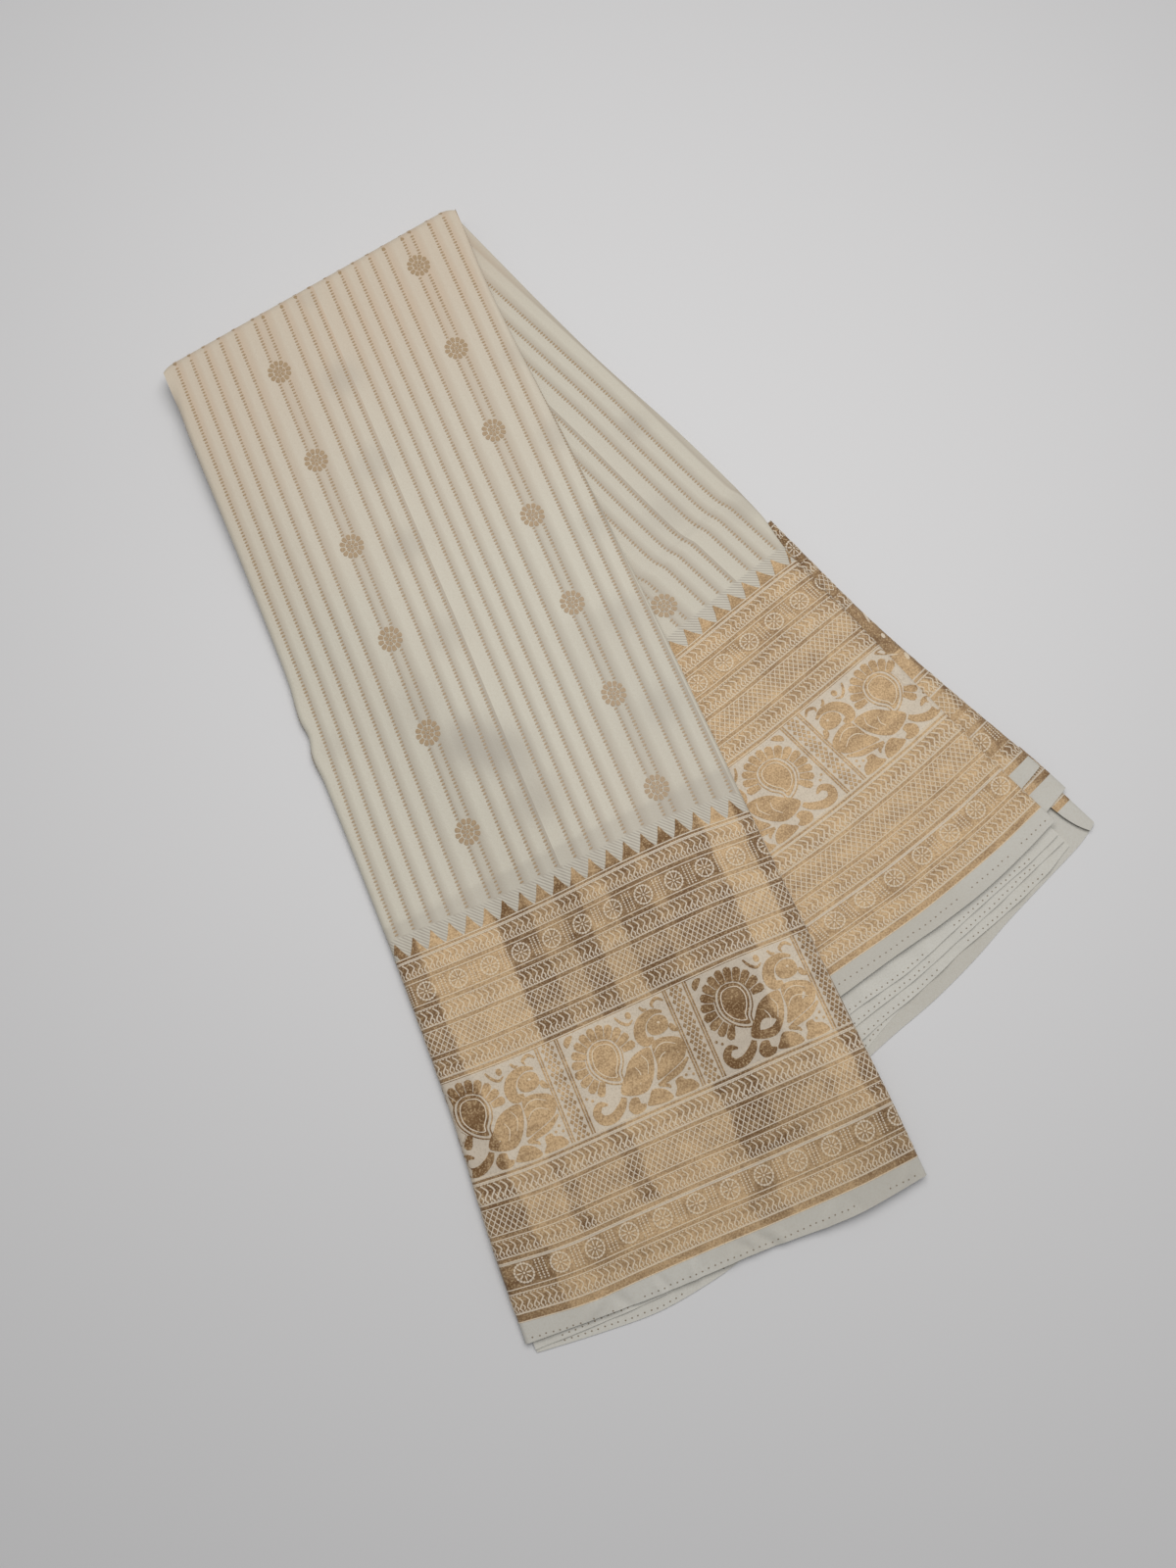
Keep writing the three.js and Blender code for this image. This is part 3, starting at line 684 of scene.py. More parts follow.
def bands_of(tree, down, kinds):
    """1 in the border's bands of some kinds, and 0 elsewhere."""
    start, span = BORDER_START, GOLD_END + 20 - BORDER_START
    stops = [(0.0, 0.0)]
    for kind, first, last in zip(*BANDS.values()):
        if kind in kinds:
            stops += [((first - start) / span, 1.0), ((last - start) / span, 0.0)]
    along = add(tree, "MapRange", {0: down, 1: start, 2: start + span})
    return fill_ramp(add(tree, "ValToRGB", {0: along}), stops, "CONSTANT")


PAIR = 7  # two stripes nearer than this are a pair


def field_bands():
    """The stops of the field's greyer bands, one beside each stripe of dots."""
    stops = []
    before = STRIPES[-1] - REPEAT
    for stripe, following in zip(STRIPES, STRIPES[1:] + (STRIPES[0] + REPEAT,)):
        gap = following - stripe
        left = 0.45 if stripe - before < PAIR else 0.1
        right = 0.4 if gap < PAIR else 0.0
        for place, value in ((-0.7, left), (0.5, 1.0), (0.5 * gap, right)):
            stops.append(((stripe + place) / REPEAT % 1, value))
        before = stripe
    return sorted(stops)


def crepe_with_border(name, sheen_zones, colours, golden_kinds):
    """Crepe with its woven bands, and the ground that the border's figures stand on.

    Crepe is silk of hard-twisted yarn: matt, with a fine pebbled grain. The border's ground is
    a twill of the same silk, with bands and bars of gold weft.
    """
    material, tree = new_material(name)
    across, down = weave_places(tree)
    # The field: bands, warm clouds that fade away from the fold, what shows through, and the
    # hatched ground of the spires.
    place = add(tree, "Math", {0: across, 1: REPEAT, 2: 0.0}, operation="WRAP")
    wrapped = add(tree, "Math", {0: place, 1: REPEAT}, operation="DIVIDE")
    bands = fill_ramp(add(tree, "ValToRGB", {0: wrapped}), field_bands())
    cloudy = noise(tree, 9.0, 2.0)
    faded = add(tree, "MapRange", {0: down, 1: 190.0, 2: -60.0})
    warm = add(tree, "Math", {0: cloudy, 1: 0.5, 2: faded}, operation="MULTIPLY_ADD")
    warm = add(tree, "MapRange", {0: warm, 1: 0.2, 2: 1.0})
    in_bands = add(tree, "MapRange", {0: bands, 3: 0.5, 4: 0.95})
    warm = add(tree, "Math", {0: warm, 1: in_bands}, operation="MULTIPLY")
    # Show-through, which on the front also holds the painted shade of a dimple.
    through = add(tree, "Attribute", attribute_name="show_through").outputs["Fac"]
    dimmed = add(tree, "Math", {0: through, 1: 0.4}, operation="MULTIPLY")
    hatch = twill(tree, across, down, 2.1, -1.0)
    near_tips = add(tree, "MapRange", {0: down, 1: TIPS - 3, 2: TIPS - 1.8, 4: 0.8})
    field = coats(
        tree,
        colours["crepe"],
        (bands, colours["crepe_grey"]),
        (warm, colours["crepe_warm"]),
        (dimmed, colours["shadow"]),
        (near_tips, coats(tree, colours["crepe"], (hatch, colours["shadow"]))),
    )
    # The border: silk twill, and gold where a bar or a band of vines, nets or wheels runs.
    # The gold and the silk carry the zari's painted sheen and shade.
    gold, silk, _, ribs, _ = border_threads(tree, across, down, sheen_zones, colours)
    banded = bands_of(tree, down, golden_kinds)
    barred = bands_of(tree, down, ("bar",))
    bar = coats(tree, gold, (0.1, colours["zari_shaded"]))
    border = coats(tree, silk, (banded, gold), (barred, bar))
    # The hem, and the grain of it all: pebbled on the crepe, ribbed on the border.
    uneven = add(tree, "MapRange", {0: cloudy, 1: 0.4, 2: 0.7, 4: 0.7})
    hem = coats(tree, colours["hem"], (uneven, colours["hem_shade"]))
    foot = BANDS["end"][0]
    in_border = add(tree, "MapRange", {0: down, 1: foot - 0.3, 2: foot + 0.2})
    in_hem = add(tree, "MapRange", {0: down, 1: GOLD_END, 2: GOLD_END + 0.3})
    grain = noise(tree, 900.0, 2.0, Roughness=0.6)
    speckled = add(tree, "MapRange", {0: grain, 1: 0.4, 2: 0.8, 4: 0.2})
    finish = ((in_border, border), (in_hem, hem), (speckled, colours["silk_shade"]))
    height = add(tree, "Mix", {0: in_border, 2: grain, 3: ribs})
    golden = add(tree, "Math", {0: banded, 1: barred}, operation="MAXIMUM")
    above_hem = add(tree, "Math", {0: 1.0, 1: in_hem}, operation="SUBTRACT")
    shine = add(tree, "Math", {0: golden, 1: above_hem}, operation="MULTIPLY")
    metallic = add(tree, "Math", {0: shine, 1: GILT}, operation="MULTIPLY")
    surface(tree, coats(tree, field, *finish), height, COARSE, metallic=metallic)
    return material


def figure_thread(name, sheen_zones, colours, golden):
    """Thread of the border's figures, as floats over the ground. Zari is a silk core wound with
    gilt metal strip, satin, with painted glints and painted shade speckled where the strip turns
    and painted sheen and shade in stretches. The other thread is plain silk, with the same painted
    sheen."""
    material, tree = new_material(name)
    across, down = weave_places(tree)
    gold, _, figures, ribs, grain = border_threads(tree, across, down, sheen_zones, colours)
    if golden:
        surface(tree, gold, ribs, COARSE, metallic=GILT, sheen=0.0)
    else:
        surface(tree, figures, grain)
    return material


def plain_silk(name, colour, shade, grain_size, roughness):
    """Plain-woven silk yarn or hem cloth, with the unevenness of its threads."""
    material, tree = new_material(name)
    grain = noise(tree, 1 / (grain_size * MM), 2.0)
    uneven = add(tree, "MapRange", {0: grain, 1: 0.35, 2: 0.8, 4: 0.5})
    surface(tree, coats(tree, colour, (uneven, shade)), grain, roughness=roughness)
    return material


def layered_crepe(name, colours):
    """The pile's folded edges: crepe, lighter or darker from fold to fold."""
    material, tree = new_material(name)
    places = add(tree, "TexCoord").outputs["Object"]
    up = add(tree, "SeparateXYZ", {0: places}).outputs[2]
    layer = add(tree, "Math", {0: up, 1: 2400.0}, operation="MULTIPLY")
    links = {"W": layer, "Scale": 1.0, "Detail": 0.0}
    line = add(tree, "TexNoise", links, noise_dimensions="1D")
    tone = add(tree, "MapRange", {0: line, 1: 0.4, 2: 0.7})
    colour = coats(tree, colours["crepe"], (tone, colours["silk_shade"]))
    surface(tree, colour, noise(tree, 60.0, 3.0), COARSE, 0.65)
    return material


# ---- The weave drawn flat ----


class Drawing:
    """Flat figures of thread, each a thin prism, on the plane of the weave in millimetres."""

    def __init__(self, thickness=0.16, sunk=0.1, side=1):
        """Side -1 mirrors the drawing from left to right."""
        self.points, self.faces = [], []
        self.top, self.bottom = thickness, -sunk
        self.side = side
        self.count = 0

    def next_top(self):
        """Each figure is a little higher or lower than the last, as floats of thread are."""
        self.count += 1
        return self.top + 0.005 * (self.count % 7)

    def figure(self, outline):
        """A figure inside a closed outline of places across and down."""
        flat = [(self.side * x, -y) for x, y in outline]
        area = sum(a[0] * b[1] - b[0] * a[1] for a, b in zip(flat, flat[1:] + flat[:1]))
        if area < 0:
            flat.reverse()
        first, count = len(self.points), len(flat)
        top = self.next_top()
        self.points += [(x, y, self.bottom) for x, y in flat]
        self.points += [(x, y, top) for x, y in flat]
        self.faces.append(tuple(first + count + i for i in range(count)))
        self.faces.append(tuple(first + i for i in range(count - 1, -1, -1)))
        for i in range(count):
            j = (i + 1) % count
            self.faces.append((first + i, first + j, first + count + j, first + count + i))

    def band(self, left, right):
        """A long figure between two lines of places, cut into short pieces that follow a bend."""
        first, count = len(self.points), len(left)
        for x, y in left + right:
            self.points.append((x, -y, self.bottom))
        top = self.next_top()
        for x, y in left + right:
            self.points.append((x, -y, top))
        lower_l, lower_r, upper_l, upper_r = (first + k * count for k in range(4))
        forward = []
        for i in range(count - 1):
            forward.append((upper_l + i, upper_l + i + 1, upper_r + i + 1, upper_r + i))
            forward.append((lower_l + i, lower_r + i, lower_r + i + 1, lower_l + i + 1))
            forward.append((lower_l + i, lower_l + i + 1, upper_l + i + 1, upper_l + i))
            forward.append((lower_r + i, upper_r + i, upper_r + i + 1, lower_r + i + 1))
        end = count - 1
        forward.append((lower_l, upper_l, upper_r, lower_r))
        forward.append((lower_l + end, lower_r + end, upper_r + end, upper_l + end))
        (x0, y0), (x1, y1), (x2, y2) = left[0], left[1], right[0]
        turned = (x1 - x0) * -(y2 - y0) - (x2 - x0) * -(y1 - y0) < 0
        self.faces += [tuple(reversed(f)) for f in forward] if turned else forward

    def stroke(self, line, widths, steps):
        """A stroke along a smooth line, with a width at each of the line's points."""
        path = curve_through([(self.side * x, y) for x, y in line], steps)
        wide = curve_through([(w, 0) for w in widths], steps)
        left, right = [], []
        for i, (x, y) in enumerate(path):
            (ax, ay), (bx, by) = path[max(i - 1, 0)], path[min(i + 1, len(path) - 1)]
            length = math.hypot(bx - ax, by - ay) or 1.0
            half = max(wide[i][0], 0.1) / 2
            nx, ny = -(by - ay) / length * half, (bx - ax) / length * half
            left.append((x + nx, y + ny))
            right.append((x - nx, y - ny))
        self.band(left, right)

    def petal(self, middle, turn, half, inner, outer, tall):
        """A round-ended petal that points away from a middle: turn and half are angles."""
        places = []
        for share, reach in PETAL:
            angle = turn + share * half
            r = lerp(inner, outer, reach)
            x, y = r * math.cos(angle), tall * r * math.sin(angle)
            places.append((middle[0] + x, middle[1] + y))
        self.figure(places)

    def mesh(self, name):
        mesh = bpy.data.meshes.new(name)
        mesh.from_pydata(self.points, [], self.faces)
        return mesh


PETAL = ((-0.84, 0), (-0.92, 0.62), (-0.68, 0.9), (0, 1), (0.68, 0.9), (0.92, 0.62), (0.84, 0))


def spline(t, a, b, c, d):
    """A value on the smooth curve from b to c, where a comes before them and d after."""
    bend = (2 * a - 5 * b + 4 * c - d) * t * t
    return 0.5 * (2 * b + (c - a) * t + bend + (3 * b - a - 3 * c + d) * t**3)


def curve_through(line, steps, closed=False):
    """A smooth line through points, with some steps from each to the next."""
    count = len(line)
    made = []
    for i in range(count if closed else count - 1):
        near = range(i - 1, i + 3)
        if closed:
            points = [line[k % count] for k in near]
        else:
            points = [line[min(max(k, 0), count - 1)] for k in near]
        for k in range(steps):
            made.append(tuple(spline(k / steps, *values) for values in zip(*points)))
    if not closed:
        made.append(tuple(line[-1]))
    return made


def oval(x, y, wide, tall, turn=0.0, count=10):
    c, s = math.cos(math.radians(turn)), math.sin(math.radians(turn))
    outline = []
    for i in range(count):
        angle = 2 * math.pi * i / count
        u = wide / 2 * math.sin(angle)
        v = -tall / 2 * math.cos(angle)
        outline.append((x + u * c - v * s, y + u * s + v * c))
    return outline


def dot():
    """One slanted float of a stripe in the field."""
    drawing = Drawing()
    drawing.figure([(-1.1, 0.1), (-0.3, -0.5), (0.9, -0.4), (1.1, -0.1), (0.3, 0.5), (-0.9, 0.4)])
    return drawing.mesh("dot")


def rosette():
    """The field's round flower: a ring of petals round a heart of smaller ones."""
    drawing = Drawing()
    for count, inner, outer in ((12, 3.9, 6.9), (7, 1.3, 3.5)):
        for i in range(count):
            turn, half = 2 * math.pi * i / count, 0.9 * math.pi / count
            drawing.petal((0, 0), turn, half, inner, outer, 1.08)
    drawing.figure(oval(0, 0, 1.9, 1.9, 0, 8))
    return drawing.mesh("rosette")


def spire():
    """A temple spire, with a low foot on each side."""
    outline = [(0, 8.7), (0, -0.2), (0.5, 0.6), (2.1, 4.3), (4.2, 8.1), (4.7, 8.7)]
    drawing = Drawing(side=-1)
    drawing.figure(outline[::-1])
    drawing.side = 1
    drawing.figure(outline)
    return drawing.mesh("spire")


def chevron():
    """One unit of the running vine, in silk on the gold: a bent stem, a hooked leaf and beads."""
    drawing = Drawing(0.2)
    stem = [(-1.5, -3.7), (-0.2, -2.3), (0.8, -0.4), (-0.9, 1.5), (-1.5, 3.2), (-0.6, 3.9)]
    drawing.stroke(stem, [0.55, 0.75, 0.78, 0.72, 0.7, 0.5], 2)
    drawing.stroke([(0.3, 1.1), (1.0, 2.4), (0.3, 3.7)], [0.5, 0.75, 0.5], 2)
    for x in (-0.85, 0.85):
        for y, turn in ((-4.25, 12), (4.3, -12)):
            drawing.figure(oval(x, y, 1.25, 0.6, turn * x, 6))
    return drawing.mesh("chevron")


def net():
    """One mesh of the silk net over a band of gold."""
    drawing = Drawing(0.2)
    half = NET_PITCH / 2
    rise = [(-half, 0), (-half / 2, -0.98), (0, -NET_HEIGHT)]
    fall = [(0, -NET_HEIGHT), (half / 2, -0.98), (half, 0)]
    for line in (rise, fall):
        drawing.stroke(line, [0.5, 0.42, 0.5], 1)
    return drawing.mesh("net")


WHEEL_BEADS, WHEEL_SPOKES = 18, 8
BIRD_LOBES = 14


def wheel():
    """A wheel of silk on the gold: a beaded rim, spokes and a hub, and bead lines beside it."""
    drawing = Drawing(0.2)
    for i in range(WHEEL_BEADS):
        a = 2 * math.pi * i / WHEEL_BEADS
        drawing.figure(oval(4.6 * math.sin(a), -4.7 * math.cos(a), 1.7, 1.2, math.degrees(a), 6))
    for i in range(WHEEL_SPOKES):
        a = 2 * math.pi * i / WHEEL_SPOKES
        x, y = math.sin(a), -math.cos(a)
        drawing.figure(oval(2.6 * x, 2.6 * y, 0.8, 3.2, math.degrees(a), 6))
    drawing.figure(oval(0, 0, 1.3, 1.3, 0, 6))
    for column in (-1.9, 0.0, 1.9):
        for k in range(8):
            x, y = UPPER_WHEELS[1] / 2 + column, -4.55 + 1.3 * k
            drawing.figure(oval(x, y, 0.95, 1.0, 0, 6))
    return drawing.mesh("wheel")


def bird(side):
    """A peacock of the border: a paisley of tail feathers, neck, head and breast over scrolls.

    Side 1 has the tail on the left and the head on the right, and side -1 the other way round.
    """
    drawing = Drawing(side=side)

    def figure(line):
        drawing.figure(curve_through(line, 4, True))

    def stroke(line, widths):
        drawing.stroke(line, widths, 4)

    # The paisley eye of the tail, and the fine ring round it.
    eye = [(-11, -15.6), (-5.6, -13.8), (-2.9, -8.2), (-3.9, -2.4), (-7.0, 2.6), (-7.4, 6.6)]
    eye += [(-11.0, 5.6), (-15.4, 2.2), (-18.4, -3.4), (-18.0, -10.2), (-15.2, -14.4)]
    figure(eye)
    ring = [(-11, -17.0), (-4.8, -15.0), (-1.6, -8.4), (-2.6, -1.6), (-5.7, 3.4), (-6.3, 8.2)]
    ring += [(-11.4, 7.1), (-16.3, 3.2), (-19.8, -3.2), (-19.4, -10.8), (-16.0, -15.7)]
    stroke(ring + ring[:1], [0.7] * (len(ring) + 1))
    # Feathers round the ring.
    for i in range(BIRD_LOBES):
        share = i / (BIRD_LOBES - 1)
        angle = math.radians(lerp(122, 352, share))
        half = math.radians((352 - 122) / (BIRD_LOBES - 1)) / 2
        drawing.petal((-10.9, -5.3), angle, half, 10.4, 17.6, 1.05)
    # Neck, which curls round the head, with the beak and the crest.
    neck = [(25.4, -16.4), (20.4, -18.2), (14.0, -16.2), (10.6, -10.8), (11.6, -6.0), (16.2, -5.4)]
    stroke(neck, [1.2, 3.2, 5.2, 6.2, 5.4, 2.6])
    head = [(14.8, -11.2), (17.0, -14.6), (21.6, -16.0), (25.8, -13.6), (25.6, -8.4)]
    figure(head + [(21.0, -6.4), (16.2, -7.6)])
    figure([(25.6, -8.4), (27.4, -9.4), (29.2, -6.0), (28.8, -4.4), (26.2, -5.8)])
    stroke([(1.8, -23.2), (3.8, -19.6), (7.0, -17.2), (10.0, -18.6)], [0.9, 1.5, 1.4, 0.6])
    drawing.figure(oval(8.6, -21.4, 3.2, 3.8, 0, 10))
    stroke([(15.4, -23.0), (16.8, -20.8), (18.6, -20.6)], [1.0, 1.6, 0.6])
    stroke([(28.2, -21.2), (25.2, -23.6), (21.8, -22.0), (22.4, -19.8)], [0.9, 1.8, 1.6, 0.6])
    figure([(-27.4, -21.6), (-25.0, -24.0), (-21.8, -23.6), (-24.0, -20.6), (-26.6, -18.8)])
    # Body, breast and wing.
    body = [(-4.4, 5.0), (-0.6, 0.2), (5.0, -2.6), (11.8, -3.0), (12.4, 1.2), (10.6, 7.6)]
    figure(body + [(7.0, 13.4), (2.4, 16.8), (-4.0, 16.4), (-9.6, 13.4), (-8.4, 9.4)])
    breast = [(13.8, -3.0), (18.6, -4.8), (24.6, -3.4), (28.8, -0.6), (29.4, 4.4), (26.6, 8.8)]
    figure(breast + [(20.6, 11.4), (12.2, 13.8), (9.6, 13.2), (12.6, 6.8)])
    stroke([(9.2, 16.6), (15.2, 15.0), (22.0, 13.2), (28.4, 9.4)], [1.8, 3.0, 3.2, 1.2])
    # The scroll that sweeps out of the tail, and the leaves under the bird.
    scroll = [(-18.4, 15.2), (-22.2, 13.8), (-25.2, 17.2), (-23.0, 21.6), (-17.6, 22.0)]
    stroke(scroll + [(-12.0, 18.6), (-9.4, 15.0)], [1.0, 3.4, 4.4, 5.0, 5.0, 4.2, 2.6])
    leaf = [(-9.4, 21.0), (-6.4, 17.2), (-2.8, 17.8), (-2.6, 21.0), (-0.2, 22.4), (-2.4, 24.9)]
    figure(leaf + [(-7.6, 24.9)])
    leaf = [(0.2, 23.4), (2.4, 20.2), (5.2, 17.2), (9.2, 18.0), (12.6, 20.8), (13.6, 24.9)]
    figure(leaf + [(5.8, 25.1)])
    leaf = [(15.4, 24.9), (17.2, 21.2), (18.0, 17.4), (21.6, 16.6), (22.6, 18.6), (26.2, 20.2)]
    figure(leaf + [(27.6, 24.9)])
    stroke([(10.6, 17.6), (13.4, 18.0), (14.6, 19.8)], [0.7, 1.8, 0.8])
    for x, y in ((-27.2, 8.4), (-24.8, 10.4), (24.0, 17.0), (26.6, 14.8), (27.6, 18.0)):
        drawing.figure(oval(x, y, 1.5, 1.5, 0, 8))
    return drawing.mesh("bird")


def bird_lines(side):
    """The fine silk lines inside a bird: its eye, its breast, its wing and its tail's ring."""
    drawing = Drawing(0.3, side=side)
    inner_ring = [(-11, -13.7), (-6.4, -12.4), (-4.3, -7.8), (-5.3, -2.8), (-7.9, 1.4), (-8.4, 4.2)]
    for line in (
        [(13.4, 0.8), (16.6, -1.6), (21.0, -1.8), (25.4, 0.8)],
        [(13.6, 6.4), (16.4, 3.4), (20.6, 2.8), (25.0, 5.4)],
        [(6.8, -0.8), (8.6, 3.6), (6.4, 9.2)],
        [(1.6, 3.6), (3.0, 7.6), (0.8, 12.4)],
        inner_ring + [(-11.2, 3.6)],
        [(-11, -13.7), (-14.6, -12.7), (-16.6, -9.2), (-17.0, -3.8), (-14.6, 0.9), (-11.2, 3.6)],
    ):
        widths = [0.35] + [0.6] * (len(line) - 2) + [0.35]
        drawing.stroke(line, widths, 3)
    drawing.figure(oval(21.6, -12.2, 1.7, 1.3, 20, 8))
    return drawing.mesh("bird_lines")


def bird_gaps():
    """The silk that shows between a bird's feathers and scrolls where only its side shows."""
    drawing = Drawing(0.2)
    for x, y, wide, tall, turn in (
        (-2, -21, 2.4, 7, 60),
        (4, -17, 1.8, 8, 20),
        (8, -9, 1.8, 7, -30),
        (3, -3, 2.4, 3.4, 10),
        (7, 3, 2.0, 8, 30),
        (-1, 8, 1.0, 7, -50),
        (5, 14, 3.0, 5, 20),
        (10, 19, 1.4, 6, -35),
        (-2, 21, 1.2, 6, 70),
    ):
        drawing.figure(oval(x, y, wide, tall, turn, 8))
    return drawing.mesh("bird_gaps")


def band_lines(left, right):
    """The fine silk lines above and below each gold bar, from one side to the other."""
    drawing = Drawing(0.2)
    places = [lerp(left, right, k / 110) for k in range(111)]
    for kind, start, end in zip(*BANDS.values()):
        if kind == "bar":
            for y in (start - 0.05, end + 0.05):
                over = [(x, y - 0.27) for x in places]
                drawing.band(over, [(x, y + 0.27) for x in places])
    return drawing.mesh("band_lines")


def post():
    """A post between two birds: fine lines each side of a column of crosses."""
    drawing = Drawing()
    places = [(-25.2 + 50.4 * k / 17) for k in range(18)]
    for x in (-6.2, -4.9, 4.9, 6.2):
        drawing.band([(x - 0.42, y) for y in places], [(x + 0.42, y) for y in places])
    for k in range(24):
        y = -24.4 + 2.12 * k
        # Rows of three and of two crosses in turn.
        for x in (-2.6, 0.0, 2.6) if k % 2 else (-1.3, 1.3):
            drawing.figure([(x - 1.1, y), (x, y - 1.35), (x + 1.1, y), (x, y + 1.35)])
    return drawing.mesh("post")


def pin_mark():
    """A pin's hole from the weaving frame, as a small dark round: the hole is real, its darkness is
    painted shade.
    """
    drawing = Drawing(0.06, 0.05)
    drawing.figure(oval(0, 0, 0.95, 0.8, 0, 8))
    return drawing.mesh("pin_mark")


# ---- Laying the weave on the cloth with Geometry Nodes ----


def lay_tree():
    """Sets a figure at each point of the flat weave and lays it on the cloth by its UV map."""
    tree = bpy.data.node_groups.new("lay_weave", "GeometryNodeTree")
    inputs = {"Geometry": "Geometry", "Figure": "Object", "Cloth": "Object", "Finish": "Material"}
    for name, kind in inputs.items():
        tree.interface.new_socket(name, in_out="INPUT", socket_type="NodeSocket" + kind)
    tree.interface.new_socket("Geometry", in_out="OUTPUT", socket_type="NodeSocketGeometry")
    given = add(tree, "NodeGroupInput").outputs
    figure = add(tree, "GeometryNodeObjectInfo", {"Object": given["Figure"]})
    attribute = "GeometryNodeInputNamedAttribute"
    turn = add(tree, attribute, {"Name": "turn"}, data_type="FLOAT")
    links = {
        "Points": given["Geometry"],
        "Instance": figure.outputs["Geometry"],
        "Rotation": add(tree, "CombineXYZ", {2: turn}),
        "Scale": add(tree, attribute, {"Name": "size"}, data_type="FLOAT"),
    }
    placed = add(tree, "GeometryNodeInstanceOnPoints", links)
    made = add(tree, "GeometryNodeRealizeInstances", {0: placed})
    position = add(tree, "GeometryNodeInputPosition")
    parts = add(tree, "SeparateXYZ", {0: position}).outputs
    flat = []
    for part, start in ((parts[0], -WEAVE_LEFT), (parts[1], WEAVE_DOWN)):
        links = {0: part, 1: 1 / WEAVE_SPAN, 2: start / WEAVE_SPAN}
        flat.append(add(tree, "Math", links, operation="MULTIPLY_ADD"))
    uv = add(tree, "CombineXYZ", dict(enumerate(flat)))
    links = {"Geometry": made, "Name": "weave", "Value": uv}
    kind = "GeometryNodeStoreNamedAttribute"
    stored = add(tree, kind, links, data_type="FLOAT2", domain="CORNER")
    target = add(tree, "GeometryNodeObjectInfo", {"Object": given["Cloth"]})
    weave = add(tree, attribute, {"Name": "weave"}, data_type="FLOAT_VECTOR")
    found = []
    for value in (position, add(tree, "GeometryNodeInputNormal")):
        links = {"Mesh": target.outputs["Geometry"], "Value": value}
        links |= {"UV Map": weave, "Sample UV": uv}
        found.append(add(tree, "GeometryNodeSampleUVSurface", links, data_type="FLOAT_VECTOR"))
    place, normal = found
    missed = {0: place.outputs["Is Valid"]}
    missed = add(tree, "FunctionNodeBooleanMath", missed, operation="NOT")
    links = {"Geometry": stored, "Selection": missed}
    kept = add(tree, "GeometryNodeDeleteGeometry", links, domain="POINT")
    lift = add(tree, "Math", {0: parts[2], 1: MM}, operation="MULTIPLY")
    raised = add(tree, "VectorMath", {0: normal, "Scale": lift}, operation="SCALE")
    final = add(tree, "VectorMath", {0: place, 1: raised}, operation="ADD")
    laid = add(tree, "GeometryNodeSetPosition", {"Geometry": kept, "Position": final})
    links = {"Geometry": add(tree, "GeometryNodeRealizeInstances", {0: laid})}
    links["Material"] = given["Finish"]
    add(tree, "NodeGroupOutput", {0: add(tree, "GeometryNodeSetMaterial", links)})
    return tree


def lay(name, figure_mesh, places, cloth_face, finish):
    """Lays copies of a flat figure on a cloth's outer face. Each place is across, down, turn and
    size."""
    tree = bpy.data.node_groups.get("lay_weave") or lay_tree()
    points = bpy.data.meshes.new(name)
    points.from_pydata([(x, -y, 0) for x, y, _, _ in places], [], [])
    for column, label in ((2, "turn"), (3, "size")):
        attribute = points.attributes.new(label, "FLOAT", "POINT")
        attribute.data.foreach_set("value", [row[column] for row in places])
    carrier = new_object(name, points)
    figure = bpy.data.objects.new(name + "_figure", figure_mesh)
    modifier = carrier.modifiers.new("lay", "NODES")
    modifier.node_group = tree
    given = {"Figure": figure, "Cloth": cloth_face, "Finish": finish}
    for socket in tree.interface.items_tree:
        if socket.name in given:
            modifier[socket.identifier] = given[socket.name]
    evaluated = carrier.evaluated_get(bpy.context.evaluated_depsgraph_get())
    mesh = bpy.data.meshes.new_from_object(evaluated)
    carrier.modifiers.remove(modifier)
    carrier.data = mesh
    mesh.name = name
    bpy.data.objects.remove(figure)
    if not mesh.polygons:
        raise RuntimeError(name + ": nothing of the weave landed on the cloth")
    return carrier


def rows_of(start, end, pitch, count_from=0.0):
    """Places at a pitch between two limits, in step with a given place."""
    first = math.ceil((start - count_from) / pitch)
    last = math.floor((end - count_from) / pitch)
    return [count_from + k * pitch for k in range(first, last + 1)]


def band_places(kind, left, right, seed, shifts):
    """Where a kind of figure stands in the border's bands, as across, down, turn and size."""
    chance = random.Random(seed)
    made = []
    for found, start, end in zip(*BANDS.values()):
        if found != kind:
            continue
        middle, height = (start + end) / 2, end - start
        if kind == "spires":
            places = rows_of(left, right, SPIRE_PITCH, SPIRE_START + shifts[0])
            made += [(x, start, 0.0, 1.0) for x in places]
        elif kind == "chevrons":
            for x in rows_of(left, right, CHEVRON_PITCH, CHEVRON_START):
                place = (x + chance.uniform(-0.12, 0.12), middle)
                made.append((*place, 0.0, height / CHEVRON_HEIGHT))
        elif kind == "lattice":
            lines = round(height / NET_HEIGHT)
            for k in range(1, lines + 1):
                shift = NET_PITCH / 2 if k % 2 else 0.0
                y = start + k * height / lines
                made += [(x, y, 0.0, 1.0) for x in rows_of(left, right, NET_PITCH, shift)]
        elif kind == "wheels":
            upper = start < BIRDS_MIDDLE
            first, pitch = UPPER_WHEELS if upper else LOWER_WHEELS
            first += shifts[1] if upper else shifts[2]
            made += [(x, middle, 0.0, 1.0) for x in rows_of(left, right, pitch, first)]
    return made


